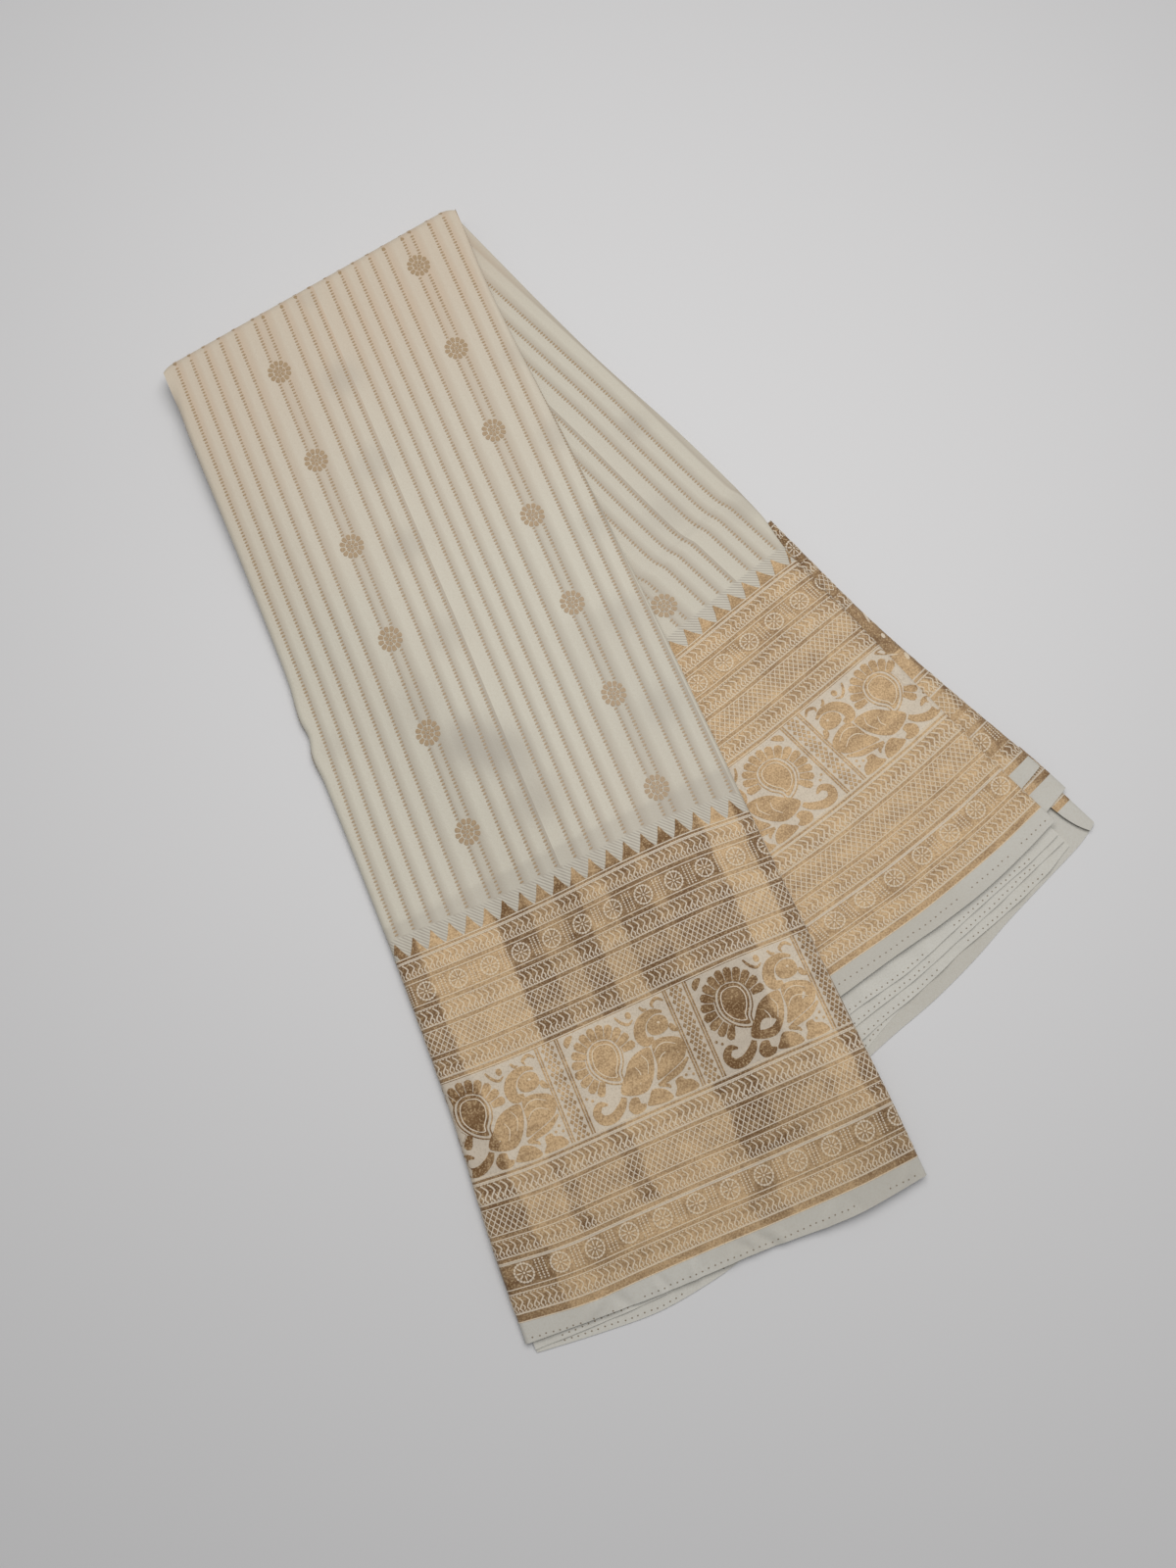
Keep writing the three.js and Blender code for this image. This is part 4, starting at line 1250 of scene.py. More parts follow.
def border_figures(name, cloth_face, of, finishes):
    """All the figures of a stretch of the border: spires, posts and birds in gold on silk, and
    vines, nets and wheels in silk on gold."""
    left, right = of["sides"]
    posts = rows_of(left - 8, right + 8, PANEL_PITCH, of["post"])
    birds = rows_of(left - 30, right + 30, PANEL_PITCH, of["post"] + PANEL_PITCH / 2)
    gold, silk = finishes
    made = []
    for kind, mesh, finish in (
        ("spires", spire(), gold),
        ("chevrons", chevron(), silk),
        ("lattice", net(), silk),
        ("wheels", wheel(), silk),
    ):
        places = band_places(kind, left, right, BANDS_SEED, of["shifts"])
        made.append(lay(name + "_" + kind, mesh, places, cloth_face, finish))
    for kind, mesh, places, finish in (
        ("posts", post(), posts, gold),
        ("birds", bird(of["birds"]), birds, gold),
        ("bird_lines", bird_lines(of["birds"]), birds, silk),
    ):
        rows = [(x, BIRDS_MIDDLE, 0.0, 1.0) for x in places]
        made.append(lay(name + "_" + kind, mesh, rows, cloth_face, finish))
    lines = band_lines(left, right)
    made.append(lay(name + "_lines", lines, [(0, 0, 0.0, 1.0)], cloth_face, silk))
    return made


def field_figures(name, cloth_face, left, right, top, columns, finish):
    """The field's stripes of dots and its rosettes."""
    rosettes = [(x, y, 0.0, 1.0) for x, downs in columns for y in downs]
    chance = random.Random(DOTS_SEED)
    dots = []
    for turn in range(-1, 4):
        for stripe in STRIPES:
            x = turn * REPEAT + stripe
            if not left < x < right:
                continue
            for y in rows_of(top, BORDER_START, DOT_PITCH):
                near = min((math.hypot(x - a, y - b) for a, b, _, _ in rosettes), default=99)
                if near > ROSETTE_CLEAR:
                    dots.append((x, y, 0.0, chance.uniform(0.85, 1.08)))
    return [
        lay(name + "_dots", dot(), dots, cloth_face, finish),
        lay(name + "_rosettes", rosette(), rosettes, cloth_face, finish),
    ]


# ---- Settings ----


def colour_property(name, description, code):
    given = {"name": name, "description": description, "default": linear(code)}
    return bpy.props.FloatVectorProperty(subtype="COLOR", size=3, min=0, max=1, **given)


class SareeThreads(bpy.types.PropertyGroup):
    crepe: colour_property("Crepe", "Light bands of the field", "#C8C3B4")
    crepe_grey: colour_property("Crepe, grey", "Greyer bands of the field", "#ACA495")
    crepe_warm: colour_property("Crepe, warm", "Warm clouds in the field", "#C3AF98")
    shadow: colour_property("Show-through", "Where a motif below shows through", "#9C958A")
    # Painted sheen and shade: each lit colour and its shaded copy below are mixed by the zari's
    # painted sheen zones.
    silk_lit: colour_property("Border silk, light", "Ground between bright zari", "#D5C8B4")
    silk_shaded: colour_property("Border silk, plain", "Ground between dark zari", "#C2B6A5")
    silk_shade: colour_property("Silk shade", "The low side of each rib", "#A99A86")
    zari_lit: colour_property("Zari, bright", "Gold thread that catches the light", "#CAAB82")
    zari_shaded: colour_property("Zari, dark", "Gold thread that catches less light", "#6F4F2B")
    zari_glint: colour_property("Zari, glint", "Highlights along the gold thread", "#E6CCA2")
    figure_silk: colour_property("Figure silk", "Vines, nets and wheels on dark gold", "#CBBEAC")
    figure_silk_lit: colour_property("Figure glow", "The same where the gold is bright", "#D4C1A3")
    hem: colour_property("Hem", "The plain strip below the gold", "#C6C4BC")
    hem_shade: colour_property("Hem shade", "The low threads of the hem", "#B5B0A4")
    # Painted shade: the dark inside of a pin's hole.
    pin_hole: colour_property("Pin holes", "The dark inside of a pin's hole in the hem", "#877D6E")
    field_zari: colour_property("Field zari", "Dots and rosettes of the field", "#A8906F")


def measure(name, description, default, low, high):
    """A length in millimetres."""
    return bpy.props.FloatProperty(
        name=name, description=description, default=default, min=low, max=high
    )


class SareePile(bpy.types.PropertyGroup):
    wall: measure("Cloth", "Thickness of the cloth that shows", 0.5, 0.2, 1.2)
    hem_wall: measure("Hem", "Thickness of a doubled hem", 0.7, 0.2, 1.2)
    column_step: measure("Column step", "Mesh step across the cloth", 1.9, 1, 8)
    fine_step: measure("Fine step", "Mesh step across the border", 1.2, 1, 8)
    row_step: measure("Row step", "Mesh step down the cloth", 2.8, 1, 12)
    folds: bpy.props.IntProperty(
        name="Folds", description="Folds that show in each arm's side", default=9, min=3, max=16
    )


class SareeStage(bpy.types.PropertyGroup):
    floor: colour_property("Floor", "The pale surface that the pile lies on", "#CFCFD0")
    floor_size: bpy.props.FloatProperty(
        name="Floor size", description="Side of the floor", default=3.0, unit="LENGTH", min=1
    )
    camera_tilt: bpy.props.FloatProperty(
        name="Camera tilt",
        description="Turn from straight down",
        default=math.radians(13.3),
        subtype="ANGLE",
    )
    lens: bpy.props.FloatProperty(name="Lens", description="Focal length", default=27.0, min=10)
    window: bpy.props.FloatProperty(
        name="Window", description="Power of the window light", default=12.4, subtype="POWER"
    )
    room: bpy.props.FloatProperty(
        name="Room", description="Strength of the light from all round", default=0.22
    )


def threads():
    """The thread colours by name."""
    group = bpy.context.scene.saree_threads
    return {name: (*getattr(group, name), 1.0) for name in SareeThreads.__annotations__}


def finish_of(name, make):
    """A material by name, made on first use."""
    return bpy.data.materials.get(name) or make()


GOLDEN = ("wheels", "chevrons", "lattice")
SHEEN_ZONES = {"front": FRONT_SHEEN_ZONES, "back": BACK_SHEEN_ZONES, "pleats": PLEAT_SHEEN_ZONES}


def crepe(arm):
    """The crepe of an arm, or of the pleats, whose spires and birds are gold too."""
    name = "crepe_silk_" + arm
    kinds = GOLDEN + ("spires", "birds") if arm == "pleats" else GOLDEN
    return finish_of(name, lambda: crepe_with_border(name, SHEEN_ZONES[arm], threads(), kinds))


def figure_finishes(arm):
    """The gold and the silk of the border's figures on an arm."""
    made = []
    for kind, golden in (("zari_", True), ("figure_silk_", False)):
        name = kind + arm
        made.append(finish_of(name, lambda: figure_thread(name, SHEEN_ZONES[arm], threads(), golden)))
    return made


def named_silk(name, colour, shade, grain_size, roughness=0.6):
    """Plain silk in two of the thread colours, by the name of the finish."""
    known = threads()
    return finish_of(
        name, lambda: plain_silk(name, known[colour], known[shade], grain_size, roughness)
    )


# ---- Pieces ----


def declare(piece, nodes=()):
    """A piece rides the pile's one body, and may stand for nodes of the frame."""
    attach(piece, BODY)
    if nodes:
        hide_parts(*nodes)
    return piece


def front_columns(left, right, step):
    """Places across a row of the front arm: its left round, its top, and its right lip. Each is
    a kind with a share along it."""
    spine = [("spine", 1 - share) for share in shares(8)]
    count = max(8, round((right - left - 12) / step))
    top = [("top", (k + 1) / (count + 1)) for k in range(count)]
    return spine + top + [("lip", share) for share in shares(6)]


def front_row(columns, row, down_at, drift):
    """A row of the front arm's outer face, with its places on the weave and its tints."""
    round_ = rounding(row)
    left = front_edge("left", down_at(0))
    right = front_edge("right", down_at(PILE_WIDTH))
    height = FRONT_HEIGHT - sink(down_at(PILE_WIDTH / 2))
    low = min(1.0, height / (2 * SPINE))
    start = left + lerp(CORNER_INSET, SPINE, round_)
    points, uvs, tints = [], [], []
    for kind, share in columns:
        turn, drop = 0.0, 0.0
        if kind == "spine":
            turn = share * SPINE_END
            round_left = left + SPINE - SPINE * low * math.sin(turn)
            s = lerp(left + CORNER_INSET * (1 - share), round_left, round_)
            drop = SPINE * low * (1 - math.cos(turn)) * round_
            weave = lerp(s, start - SPINE * turn, round_)
        elif kind == "top":
            s = lerp(start, right - LIP, share)
            weave = s
        else:
            turn = share * LIP_END
            s = right - LIP + LIP * math.sin(turn)
            drop = LIP * low * (1 - math.cos(turn)) * round_
            weave = right - LIP + LIP * turn
        down = down_at(s)
        weave += drift * smooth((down - 200) / 130) * clamp(1 - s / 150)
        up = rest(s, down) + FRONT_HEIGHT - sink(down) + relief(FRONT_RELIEF, s, down) - drop
        points.append(on_front(s, down, up))
        uvs.append(weave_uv(weave, weave_down(FRONT_LINES, s, down)))
        tints.append(shows(FRONT_SHOWS_AND_SHADE, s, down))
    return points, uvs, tints


STRIPE_DRIFT = 2.5  # how far the field's stripes lean to the left above the border
BACK_DRIFT = 2.4  # how far the back arm's stripes lean to the right half way down
HEM_SHARE = 0.93  # down the border piece, where the hem's finer rows start
HEM_ROWS = 14


def front_rows(first, last, pile):
    """Rows of the front arm, hem first, from a share of its length to another."""
    columns = front_columns(0, PILE_WIDTH, pile.column_step if last <= 1 else pile.fine_step)
    drift = STRIPE_DRIFT if last <= 1 else 0.0
    down_at = places_down(FRONT_LINES, FRONT_HEMS, lambda across: front_down(across, 0))
    length = (BORDER_START if last <= 1 else GOLD_END - BORDER_START) * (last - first)
    places = shares(round(length / pile.row_step))
    if last > 1:
        places = [p for p in places if p < HEM_SHARE]
        places += [lerp(HEM_SHARE, 1, p) for p in shares(HEM_ROWS)]
    made = []
    for p in reversed(places):
        share = lerp(first, last, p)
        made.append(front_row(columns, share * BORDER_START, down_at(share), drift))
    return [list(part) for part in zip(*made)]


def along_fold(point):
    """How far along the fold line a point is, measured across an arm."""
    x, y = point[0] - FOLD_LEFT[0], point[1] - FOLD_LEFT[1]
    return (x * math.cos(FOLD_TURN) + y * math.sin(FOLD_TURN)) * math.cos(HALF_FAN)


BEND_STEPS = 20
UNDER_ROWS = 60


def bend_rows(fold_row, fold_uvs):
    """Rows from the front arm over the fold and round to the table."""
    places = [along_fold(p) for p in fold_row]
    rows, uvs = [], []
    travelled = 0.0
    size = (TOP / 2, TOP / 2, FOLD_REACH)
    before = on_bend(0, 0, *size)
    for k in range(1, BEND_STEPS + 1):
        turn = math.pi * k / BEND_STEPS
        here = on_bend(0, turn, *size)
        travelled += math.dist(before, here)
        before = here
        rows.append([on_bend(s, turn, *size) for s in places])
        du = -travelled * math.sin(HALF_FAN) / WEAVE_SPAN
        dv = travelled * math.cos(HALF_FAN) / WEAVE_SPAN
        uvs.append([(u + du, v + dv) for u, v in fold_uvs])
    return rows, uvs


def front_cloth(pile):
    """The front arm's field, with the bend to the table, and its border, each a piece with its
    outer face. The bend's last row comes with them."""
    rows, uvs, tints = front_rows(0, 1, pile)
    over, over_uvs = bend_rows(rows[-1], uvs[-1])
    rows, uvs = rows + over, uvs + over_uvs
    tints += [[0.0] * len(rows[0])] * len(over)
    field = cloth("front_field", rows, uvs, pile.wall, crepe("front"), tints)
    declare(field[0], ("outer_stretch",))
    edges, edge_uvs, edge_tints = front_rows(1, 2, pile)
    border = cloth("front_border", edges, edge_uvs, pile.wall, crepe("front"), edge_tints)
    declare(border[0])
    return (field, border), rows[-1]


def under_cloth(last_row, pile):
    """The cloth under the back arm, from the fold to the lowest hem."""
    places = [along_fold(p) for p in last_row]
    first, last = places[0], places[-1]
    rows, uvs = [], []
    for share in reversed(shares(UNDER_ROWS)):
        right = back_edge("outline", back_down(last, share * BACK_END)) - 2
        points, flat = [], []
        for p in reversed(places):
            s = lerp(3, right, (p - first) / (last - first))
            hem = look(BACK_HEMS, "across", "under", s)
            down = lerp(back_down(s, 0), hem, share)
            points.append(on_back(lerp(p, s, smooth(share * 6)), down, 0.0))
            flat.append(weave_uv(s, GOLD_END + 40 - (hem - down)))
        rows.append(points)
        uvs.append(flat)
    piece, face = cloth("under_cloth", rows, uvs, pile.wall, crepe("back"))
    bpy.data.objects.remove(face)
    declare(piece)


def back_row(down_at, pile):
    """A row of the back arm's top cloth, with its places on the weave and its tints."""
    right = back_edge("panel", down_at(PILE_WIDTH))
    count = round((PILE_WIDTH - 12) / pile.column_step)
    places = [(lerp(BACK_LEFT, right - CURL - 1, share), 0.0, 0.0) for share in shares(count)]
    for share in shares(6):
        turn = CURL_END * share
        fall = 0.6 * CURL * (1 - math.cos(turn))
        places.append((right - CURL + CURL * math.sin(turn), fall, turn))
    points, uvs, tints = [], [], []
    for s, drop, turn in places:
        down = down_at(s)
        up = BACK_TOP - drop + relief(BACK_RELIEF, s, down)
        across = s if turn == 0 else right - CURL + CURL * turn
        weave = ROSETTE_PLACE + (across - BACK_ROSETTE) * BACK_STRETCH
        weave += BACK_DRIFT * smooth((down - 170) / 100) * (1 - smooth((down - 276) / 10))
        points.append(on_back(s, down, up))
        uvs.append(weave_uv(weave, weave_down(BACK_LINES, s, down)))
        tints.append(shows(BACK_SHOWS, s, down))
    return points, uvs, tints


def back_rows(first, last, pile):
    """Rows of the back arm's top cloth, hem first, from a share of its length to another."""
    down_at = places_down(BACK_LINES, BACK_HEMS, lambda across: back_down(across, 0) + 3)
    length = (BACK_LINES["tips"][3] if last <= 1 else GOLD_END - BORDER_START) * (last - first)
    count = round(length / pile.row_step)
    made = [back_row(down_at(lerp(first, last, p)), pile) for p in reversed(shares(count))]
    return [list(part) for part in zip(*made)]


def back_cloth(pile):
    """The back arm's field and border, each a piece with its outer face."""
    made = []
    for name, first, last in (("back_field", 0, 1), ("back_border", 1, 2)):
        rows, uvs, tints = back_rows(first, last, pile)
        made.append(cloth(name, rows, uvs, pile.wall, crepe("back"), tints))
        declare(made[-1][0], ("inner_stretch",) if last == 1 else ())
    return made


# ---- The folded layers inside the pile ----

SHOULDER = 0.62  # the side's folds start below this share of the height, under the outer cloth
SIDE_IN, SHOULDER_IN = 1.9, 3.4  # how far the folds, and the layers above them, stay in


def fold_side(share, down, folds):
    """How far the side of the folded layers stays in from the arm's edge."""
    if share > SHOULDER:
        return lerp(SIDE_IN, SHOULDER_IN, smooth((share - SHOULDER) / (1 - SHOULDER)))
    place = share / SHOULDER * folds
    fold = min(int(place), folds - 1)
    within = place - fold
    chance = random.Random(fold * 17 + 3)
    length, start, reach = chance.uniform(60, 190), chance.uniform(0, 6), chance.uniform(0, 1.1)
    wander = 0.45 * math.sin(down / length * 6 + start) + 0.2 * math.sin(down / 23 + 2 * start)
    crest = math.sqrt(max(0.0, 1 - (2 * within - 1) ** 2))
    return SIDE_IN - reach - wander - 0.45 * crest


def side_shares(folds):
    """Shares of the height down the side, five to each fold."""
    lower = [SHOULDER * (1 - k / (5 * folds)) for k in range(5 * folds)]
    return [0.985, 0.93, 0.8] + lower + [0.012]


TOP_PLACES = 13
FRONT_RINGS, BEND_RINGS, BACK_RINGS = 90, 16, 82


def layers_ring(front, row, folds):
    """A ring round the hidden layers of one arm, as places across and shares of the height."""
    if front:
        left = front_edge("left", front_down(0, row)) + SPINE
        upper = lower = front_edge("right", front_down(PILE_WIDTH, row))
    else:
        # The back arm lies the other way up: share 1 is at the table.
        left = BACK_LEFT
        upper = back_edge("panel", back_down(PILE_WIDTH, row))
        lower = back_edge("outline", back_down(PILE_WIDTH, row)) - 0.8
    flat_right = upper - 4.0
    top = [lerp(left, flat_right, share) for share in shares(TOP_PLACES - 1)]
    ring = [(across, 1.0) for across in top]
    for share in side_shares(folds):
        right = lerp(upper, lower, smooth((share - 0.48) / 0.12))
        ring.append((right - fold_side(share if front else 1 - share, row, folds), share))
    ring += [(across, 0.0) for across in reversed(top)]
    for share in (0.1, 0.3, 0.5, 0.7, 0.9):
        ring.append((left - math.sin(share * math.pi) * (1.4 if front else 0.8), share))
    return ring


def folded_layers(pile):
    """The hidden layers of both arms and the bend, as one solid with folded edges."""
    wall = pile.wall + 0.25
    flat = layers_ring(True, 0, pile.folds)
    inset = [(lerp(CORE_INSET, 190, clamp((s - 3) / 190)), share) for s, share in flat]

    def along(front, count):
        """Down the arm, ring by ring: the row, how far it is out of the bend, and its places."""
        for k in range(count + 1):
            row = (FRONT_END if front else BACK_END) * k / count
            straight = rounding(row)
            ring = layers_ring(front, row, pile.folds)
            places = [(lerp(s0, s, straight), share) for (s, share), (s0, _) in zip(ring, inset)]
            yield row, straight, places

    rings = []
    for row, _, places in along(True, FRONT_RINGS):
        ring = []
        for across, share in places:
            down = front_down(across, row)
            dent = min(0, relief(FRONT_RELIEF, across, down))
            height = FRONT_HEIGHT - sink(down + 8) - wall + dent
            ring.append(on_front(across, down, rest(across, down) + 0.05 + share * height))
        rings.insert(0, ring)
    bottom, top = LIFT + 0.05, LIFT + FRONT_HEIGHT - wall
    for k in range(1, BEND_RINGS + 1):
        turn = math.pi * k / BEND_RINGS
        ring = []
        for across, share in inset:
            radius = lerp(bottom, top, share) - TOP / 2
            reach = lerp(0.6, FOLD_REACH - wall, share)
            ring.append(on_bend(across, turn, TOP / 2, radius, reach))
        rings.append(ring)
    # Past the bend the pile is the other way up: share 1 is at the table.
    for row, straight, places in list(along(False, BACK_RINGS))[1:]:
        ring = []
        for across, share in places:
            down = back_down(across, row)
            dent = min(0, relief(BACK_RELIEF, across, down))
            upper = lerp(TOP - bottom, BACK_TOP - wall + dent, straight)
            lower = lerp(TOP - top, pile.wall + 0.15, straight)
            ring.append(on_back(across, down, lerp(upper, lower, share)))
        rings.append(ring)
    finish = finish_of("folded_crepe", lambda: layered_crepe("folded_crepe", threads()))
    return declare(loft("folded_layers", rings, finish), ("folded_core",))


# ---- Hem ends and pleats ----

HEM_END_COLUMNS, HEM_END_ROWS = 90, 14
BACK_LAYERS = ("layer5", "layer4", "layer3", "layer2")
# Each arm's hem ends, the lowest first: the height they start from, their left and right edges,
# how much narrower each is than the last, where they start, and their first seed.
HEM_STACKS = (
    ("front", ("layer3", "layer2"), 0.0, -4.5, 200, 0.0, FRONT_END + 0.5, 0),
    ("back", BACK_LAYERS, BACK_BOTTOM, 5, 172.5, 0.4, BACK_END + 0.8, 10),
)
PLEAT_ROWS, PLEAT_COLUMNS = 40, 18


def hem_end(arm, layer, up, sides, start, seed, pile):
    """A hem end that looks out from under the one above, with small waves along its edge."""
    place, hems = (on_front, FRONT_HEMS) if arm == "front" else (on_back, BACK_HEMS)
    chance = random.Random(seed)
    waves = [
        (chance.uniform(14, 40), chance.uniform(0, 6), chance.uniform(0.1, 0.28)) for _ in range(3)
    ]
    rows, uvs = [], []
    for share in reversed(shares(HEM_END_ROWS)):
        points, flat = [], []
        for part in shares(HEM_END_COLUMNS):
            s = lerp(*sides, part)
            hem = look(hems, "across", layer, s)
            down = lerp(start, hem, share)
            near = smooth(1 - (hem - down) / 26)
            wave = sum(size * math.sin(s / length * 6 + shift) for length, shift, size in waves)
            z = up - FLAP_FALL * near + wave * near
            points.append(place(s, down, max(z, pile.hem_wall + 0.05)))
            flat.append(weave_uv(s, GOLD_END + 10.5 - (hem - down)))
        rows.append(points)
        uvs.append(flat)
    node = arm + "_" + layer
    finish = named_silk("hem_silk", "hem", "hem_shade", 0.9)
    piece, face = cloth(node + "_hem", rows, uvs, pile.hem_wall, finish)
    declare(piece, (node,))
    length = (look(hems, "across", layer, sum(sides) / 2) - start) * MM
    flat = ((sides[1] - sides[0]) * MM, max(length, 0.02))
    return piece, face


def hem_ends(pile):
    """The hem ends of both arms, the lowest of each arm first."""
    made = []
    for arm, layers, base, left, right, narrower, start, seed in HEM_STACKS:
        for level, layer in enumerate(layers):
            up = base + (level + 1) * FLAP_GAP - 0.3
            sides = (left, right - narrower * level)
            made.append(hem_end(arm, layer, up, sides, start, seed + level, pile))
    return made


def pleat(index, pile):
    """A pleat that fans out of the back arm's right edge."""
    row = {key: values[index] for key, values in PLEATS.items()}
    name = "pleat_%d" % row["number"]
    rows, uvs = [], []
    wide = 0.0
    for share in reversed(shares(PLEAT_ROWS)):
        down = lerp(row["start"], row["end"], share)
        inner = back_edge("panel", down) + row["inner"] + row["corner"] * share**6
        outer = max(back_edge("outline", down) + row["outer"], inner + 4)
        wide += (outer - inner + 1) / (PLEAT_ROWS + 1)
        points, flat = [], []
        for part in shares(PLEAT_COLUMNS):
            out, rise, fall = (look(PLEAT_SHAPE, "part", k, part) for k in ("out", "rise", "fall"))
            z = row["valley"] + (row["crest"] - row["valley"]) * rise
            z -= (row["valley"] - row["nose"]) * fall
            leaning = down - PLEAT_LEAN * (part - 0.5) * share**4
            points.append(on_back(lerp(inner, outer, out), leaning, z))
            along = GOLD_END + leaning - row["gold_end"]
            flat.append(weave_uv(40 + part * (outer - inner + 3), along))
        rows.append(points)
        uvs.append(flat)
    piece, face = cloth(name, rows, uvs, pile.hem_wall, crepe("pleats"))
    declare(piece, ("back_" + name,))
    return piece, face, (wide * MM, (row["end"] - row["start"]) * MM)


# ---- The weave of each arm ----

FRONT_PINS = ((-6, 38), (52, 167), (186, 202))
BACK_PINS = ((-30, 60), (66, 92), (101, 122))
HEM_END_PINS = ((8, 74), (92, 150))
# The dots' left and right limits and their top, the border's ends, the middle of a post between
# two birds, the side that the birds look to, how far the spires and both rows of wheels are
# shifted, the stretches with pin marks, and how far below the gold these are.
ARM_WEAVE = table(
    "arm dots sides post birds shifts pins pins_down",
    ("front", (-8, 208, -70), (-12, 212), 56.3, 1, (0, 0, 0), FRONT_PINS, 8.0),
    ("back", (-40, 136, -10), (-42, 146), 64.6, -1, (-3, 0.2, 3), BACK_PINS, 6.5),
)


def pin_row(name, face, stretches, down):
    """Pin marks along a hem, in uneven stretches."""
    # The pin holes' dark colour is painted shade.
    finish = named_silk("pin_hole", "pin_hole", "zari_shaded", 0.5)
    chance = random.Random(len(name))
    places = []
    for start, end in stretches:
        for x in rows_of(start, end, PIN_PITCH):
            place = (x + chance.uniform(-0.2, 0.2), down + chance.uniform(-0.3, 0.3))
            places.append((*place, 0.0, 1.0))
    return lay(name, pin_mark(), places, face, finish)


def lay_arm(arm, cloths, columns, flats):
    """Lays the whole weave on an arm's field and border, given as pieces with their faces."""
    of = {key: values[ARM_WEAVE["arm"].index(arm)] for key, values in ARM_WEAVE.items()}
    (field, field_face), (border, border_face) = cloths
    zari = named_silk("field_zari", "field_zari", "zari_shaded", 0.7, 0.45)
    figures = field_figures(arm, field_face, *of["dots"], columns, zari)
    edge = border_figures(arm, border_face, of, figure_finishes(arm))
    pins = pin_row(arm + "_hem_pins", border_face, of["pins"], GOLD_END + of["pins_down"])
    for piece in figures + edge + [pins]:
        declare(piece)
    for piece, flat, laid in ((field, flats[0], figures), (border, flats[1], edge + [pins])):
        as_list(laid)
    for face in (field_face, border_face):
        bpy.data.objects.remove(face)


def pleat_figures(name, face, silk):
    """The vines, nets and wheels that show on a pleat, where it is long enough for them."""
    kinds = [("chevrons", chevron())]
    if name == "pleat_1":
        kinds += [("lattice", net()), ("wheels", wheel()), ("birds", bird_gaps())]
    made = []
    for kind, mesh in kinds:
        places = [(44, BIRDS_MIDDLE, 0.0, 1.0)]
        if kind != "birds":
            places = band_places(kind, 34, 70, PLEATS_SEED, (0, 0, 3))
        made.append(lay(name + "_" + kind, mesh, places, face, silk))
    return made


# ---- Operators ----

CAMERA_PLACE = (-0.0118, -0.18296, 0.6228)
WINDOW_PLACE = (0.05, 0.27, 1.1)
WINDOW_SIZE = (1.1, 0.9)
WINDOW_COLOUR = (1.0, 0.985, 0.97)
ROOM_COLOUR = (0.97, 0.98, 1.0, 1.0)
SENSOR_WIDTH = 36
FLOOR_DROP = 0.0002  # the floor is this far below the cloth that lies on it


class SAREE_OT_stage(bpy.types.Operator):
    """Makes the floor, the light and the camera"""

    bl_idname = "saree.stage"
    bl_label = "Stage"

    def execute(self, context):
        scene, stage = context.scene, context.scene.saree_stage
        half = stage.floor_size / 2
        mesh = bpy.data.meshes.new("floor")
        sides = ((-half, -half), (half, -half), (half, half), (-half, half))
        mesh.from_pydata([(x, y, -FLOOR_DROP) for x, y in sides], [], [(0, 1, 2, 3)])
        material, tree = new_material("matt_laminate")
        grain = noise(tree, 3.0, 2.0)
        uneven = add(tree, "MapRange", {0: grain, 3: 0.0, 4: 0.05})
        dark = (*(c * 0.8 for c in stage.floor), 1.0)
        colour = coats(tree, (*stage.floor, 1.0), (uneven, dark))
        surface(tree, colour, grain, roughness=0.55, sheen=0.0)
        mesh.materials.append(material)
        new_object("floor", mesh)
        camera = new_object("camera", bpy.data.cameras.new("camera"))
        camera.location = CAMERA_PLACE
        camera.rotation_euler = (stage.camera_tilt, 0.0, 0.0)
        camera.data.lens = stage.lens
        camera.data.sensor_width = SENSOR_WIDTH
        camera.data.clip_start = 0.01
        scene.camera = camera
        light = bpy.data.lights.new("window", "AREA")
        light.energy = stage.window
        light.shape = "RECTANGLE"
        light.size, light.size_y = WINDOW_SIZE
        light.color = WINDOW_COLOUR
        window = new_object("window", light)
        window.location = WINDOW_PLACE
        window.rotation_euler = (-Vector(WINDOW_PLACE)).to_track_quat("-Z", "Y").to_euler()
        room = bpy.data.worlds.new("room")
        room.use_nodes = True
        air = room.node_tree.nodes["Background"].inputs
        air["Color"].default_value = ROOM_COLOUR
        air["Strength"].default_value = stage.room
        scene.world = room
        scene.view_settings.view_transform = "Standard"
        return {"FINISHED"}


class SAREE_OT_layers(bpy.types.Operator):
    """Makes the folded layers inside the pile"""

    bl_idname = "saree.layers"
    bl_label = "Folded layers"

    def execute(self, context):
        folded_layers(context.scene.saree_pile)
        return {"FINISHED"}


class SAREE_OT_front(bpy.types.Operator):
    """Makes the front arm's cloth with its weave, and the cloth under the pile"""

    bl_idname = "saree.front"
    bl_label = "Front arm"

    def execute(self, context):
        pile = context.scene.saree_pile
        cloths, last_row = front_cloth(pile)
        columns = ((ROSETTE_PLACE - 0.4, ROSETTES_LEFT), (ROSETTE_PLACE + 99.4, ROSETTES_RIGHT))
        lay_arm("front", cloths, columns, ((0.21, 0.40), (0.21, 0.211)))
        under_cloth(last_row, pile)
        return {"FINISHED"}


class SAREE_OT_back(bpy.types.Operator):
    """Makes the back arm's top cloth with its weave"""

    bl_idname = "saree.back"
    bl_label = "Back arm"

    def execute(self, context):
        cloths = back_cloth(context.scene.saree_pile)
        tip = look(BACK_LINES, "across", "tips", BACK_ROSETTE)
        columns = ((ROSETTE_PLACE, [301 - tip + TIPS - 58.4 * k for k in range(6)]),)
        lay_arm("back", cloths, columns, ((0.19, 0.33), (0.175, 0.211)))
        return {"FINISHED"}


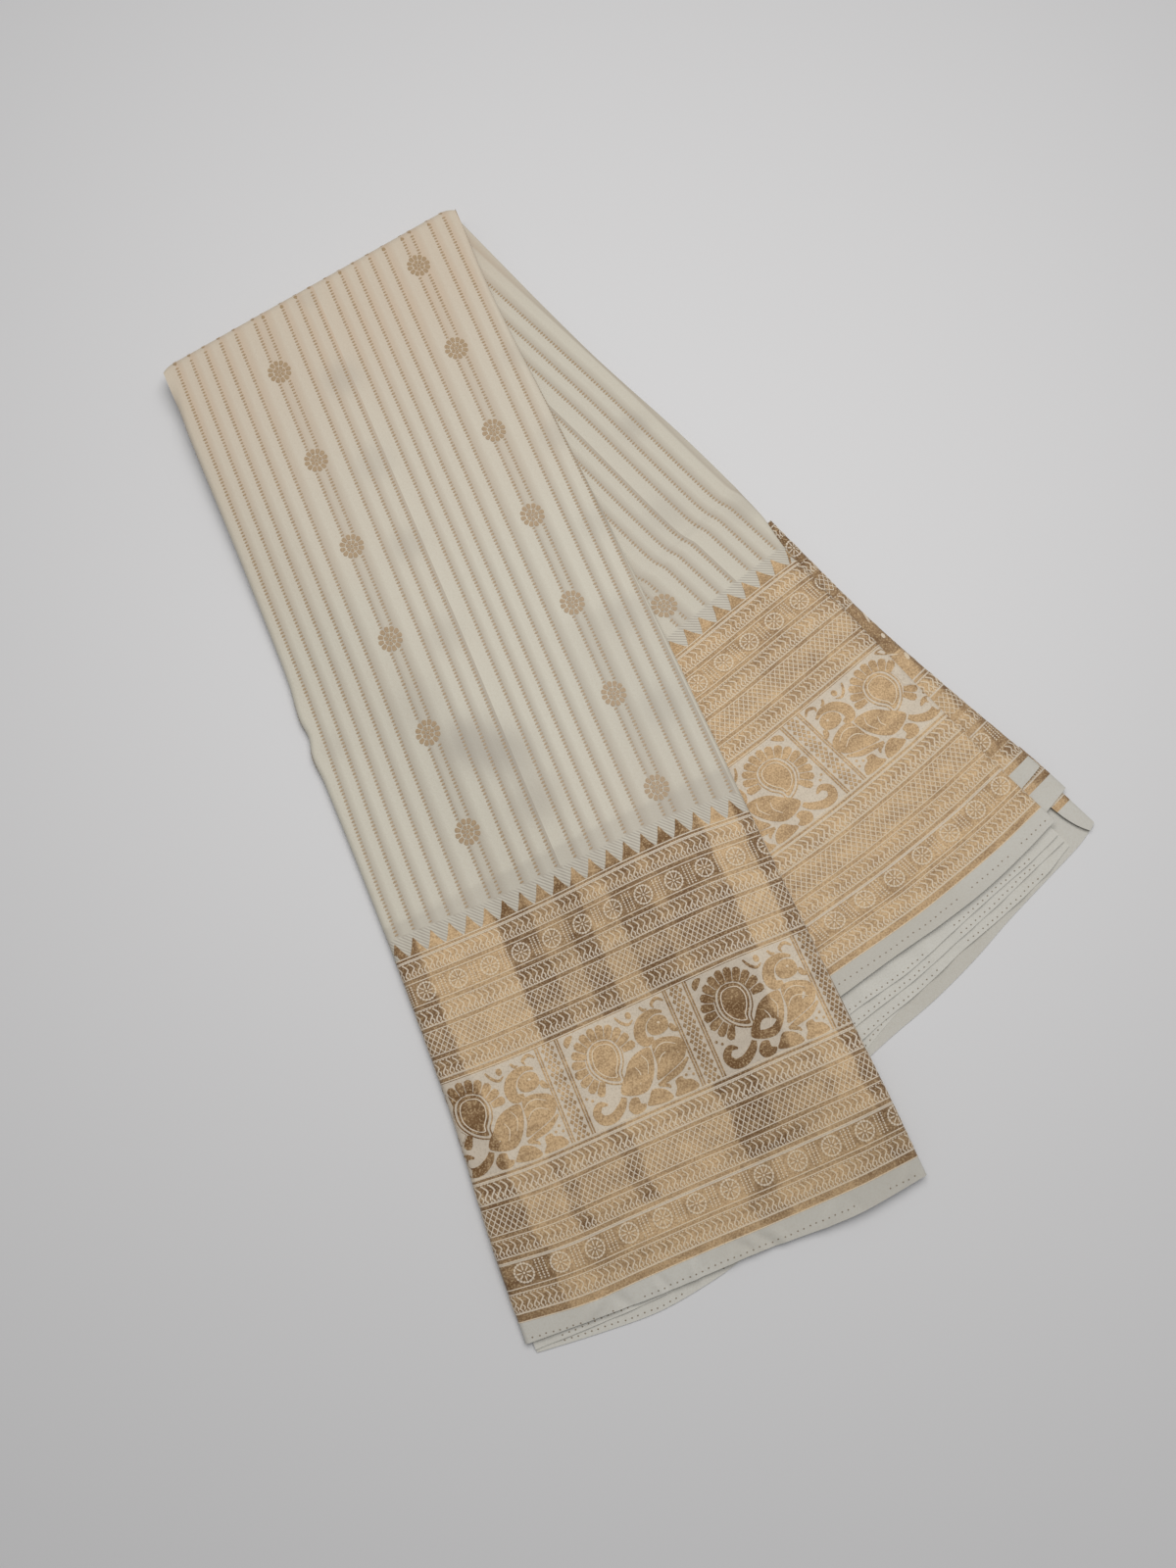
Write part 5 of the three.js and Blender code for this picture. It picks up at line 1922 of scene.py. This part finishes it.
class SAREE_OT_hems(bpy.types.Operator):
    """Makes the hem ends of the layers between"""

    bl_idname = "saree.hems"
    bl_label = "Hem ends"

    def execute(self, context):
        for piece, face in hem_ends(context.scene.saree_pile):
            marks = pin_row(piece.name + "_pins", face, HEM_END_PINS, GOLD_END + 8.6)
            declare(marks)
            bpy.data.objects.remove(face)
        return {"FINISHED"}


class SAREE_OT_pleats(bpy.types.Operator):
    """Makes the pleats at the back arm's right edge"""

    bl_idname = "saree.pleats"
    bl_label = "Pleats"

    def execute(self, context):
        pile = context.scene.saree_pile
        silk = figure_finishes("pleats")[1]
        for index in range(len(PLEATS["number"])):
            piece, face, flat = pleat(index, pile)
            figures = pleat_figures(piece.name, face, silk)
            for figure in figures:
                declare(figure)
            bpy.data.objects.remove(face)
        return {"FINISHED"}


class SAREE_PT_build(bpy.types.Panel):
    """Every setting, and a button for each operator"""

    bl_label = "Folded saree"
    bl_idname = "SAREE_PT_build"
    bl_space_type = "VIEW_3D"
    bl_region_type = "UI"
    bl_category = "Saree"

    def draw(self, context):
        layout = self.layout
        for group in SETTINGS:
            holder = getattr(context.scene, group)
            for name in holder.__annotations__:
                layout.prop(holder, name)
        for operator in OPERATORS:
            layout.operator(operator.bl_idname)


SETTINGS = {"saree_threads": SareeThreads, "saree_pile": SareePile, "saree_stage": SareeStage}
OPERATORS = (SAREE_OT_stage, SAREE_OT_layers, SAREE_OT_front)
OPERATORS += (SAREE_OT_back, SAREE_OT_hems, SAREE_OT_pleats)
CLASSES = (*SETTINGS.values(), *OPERATORS, SAREE_PT_build)


def register():
    for kind in CLASSES:
        bpy.utils.register_class(kind)
    for name, kind in SETTINGS.items():
        setattr(bpy.types.Scene, name, bpy.props.PointerProperty(type=kind))


def unregister():
    for name in SETTINGS:
        delattr(bpy.types.Scene, name)
    for kind in reversed(CLASSES):
        bpy.utils.unregister_class(kind)


def main():
    register()
    bpy.ops.saree.stage()
    bpy.ops.saree.layers()
    bpy.ops.saree.front()
    bpy.ops.saree.back()
    bpy.ops.saree.hems()
    bpy.ops.saree.pleats()


if __name__ == "__main__":
    main()
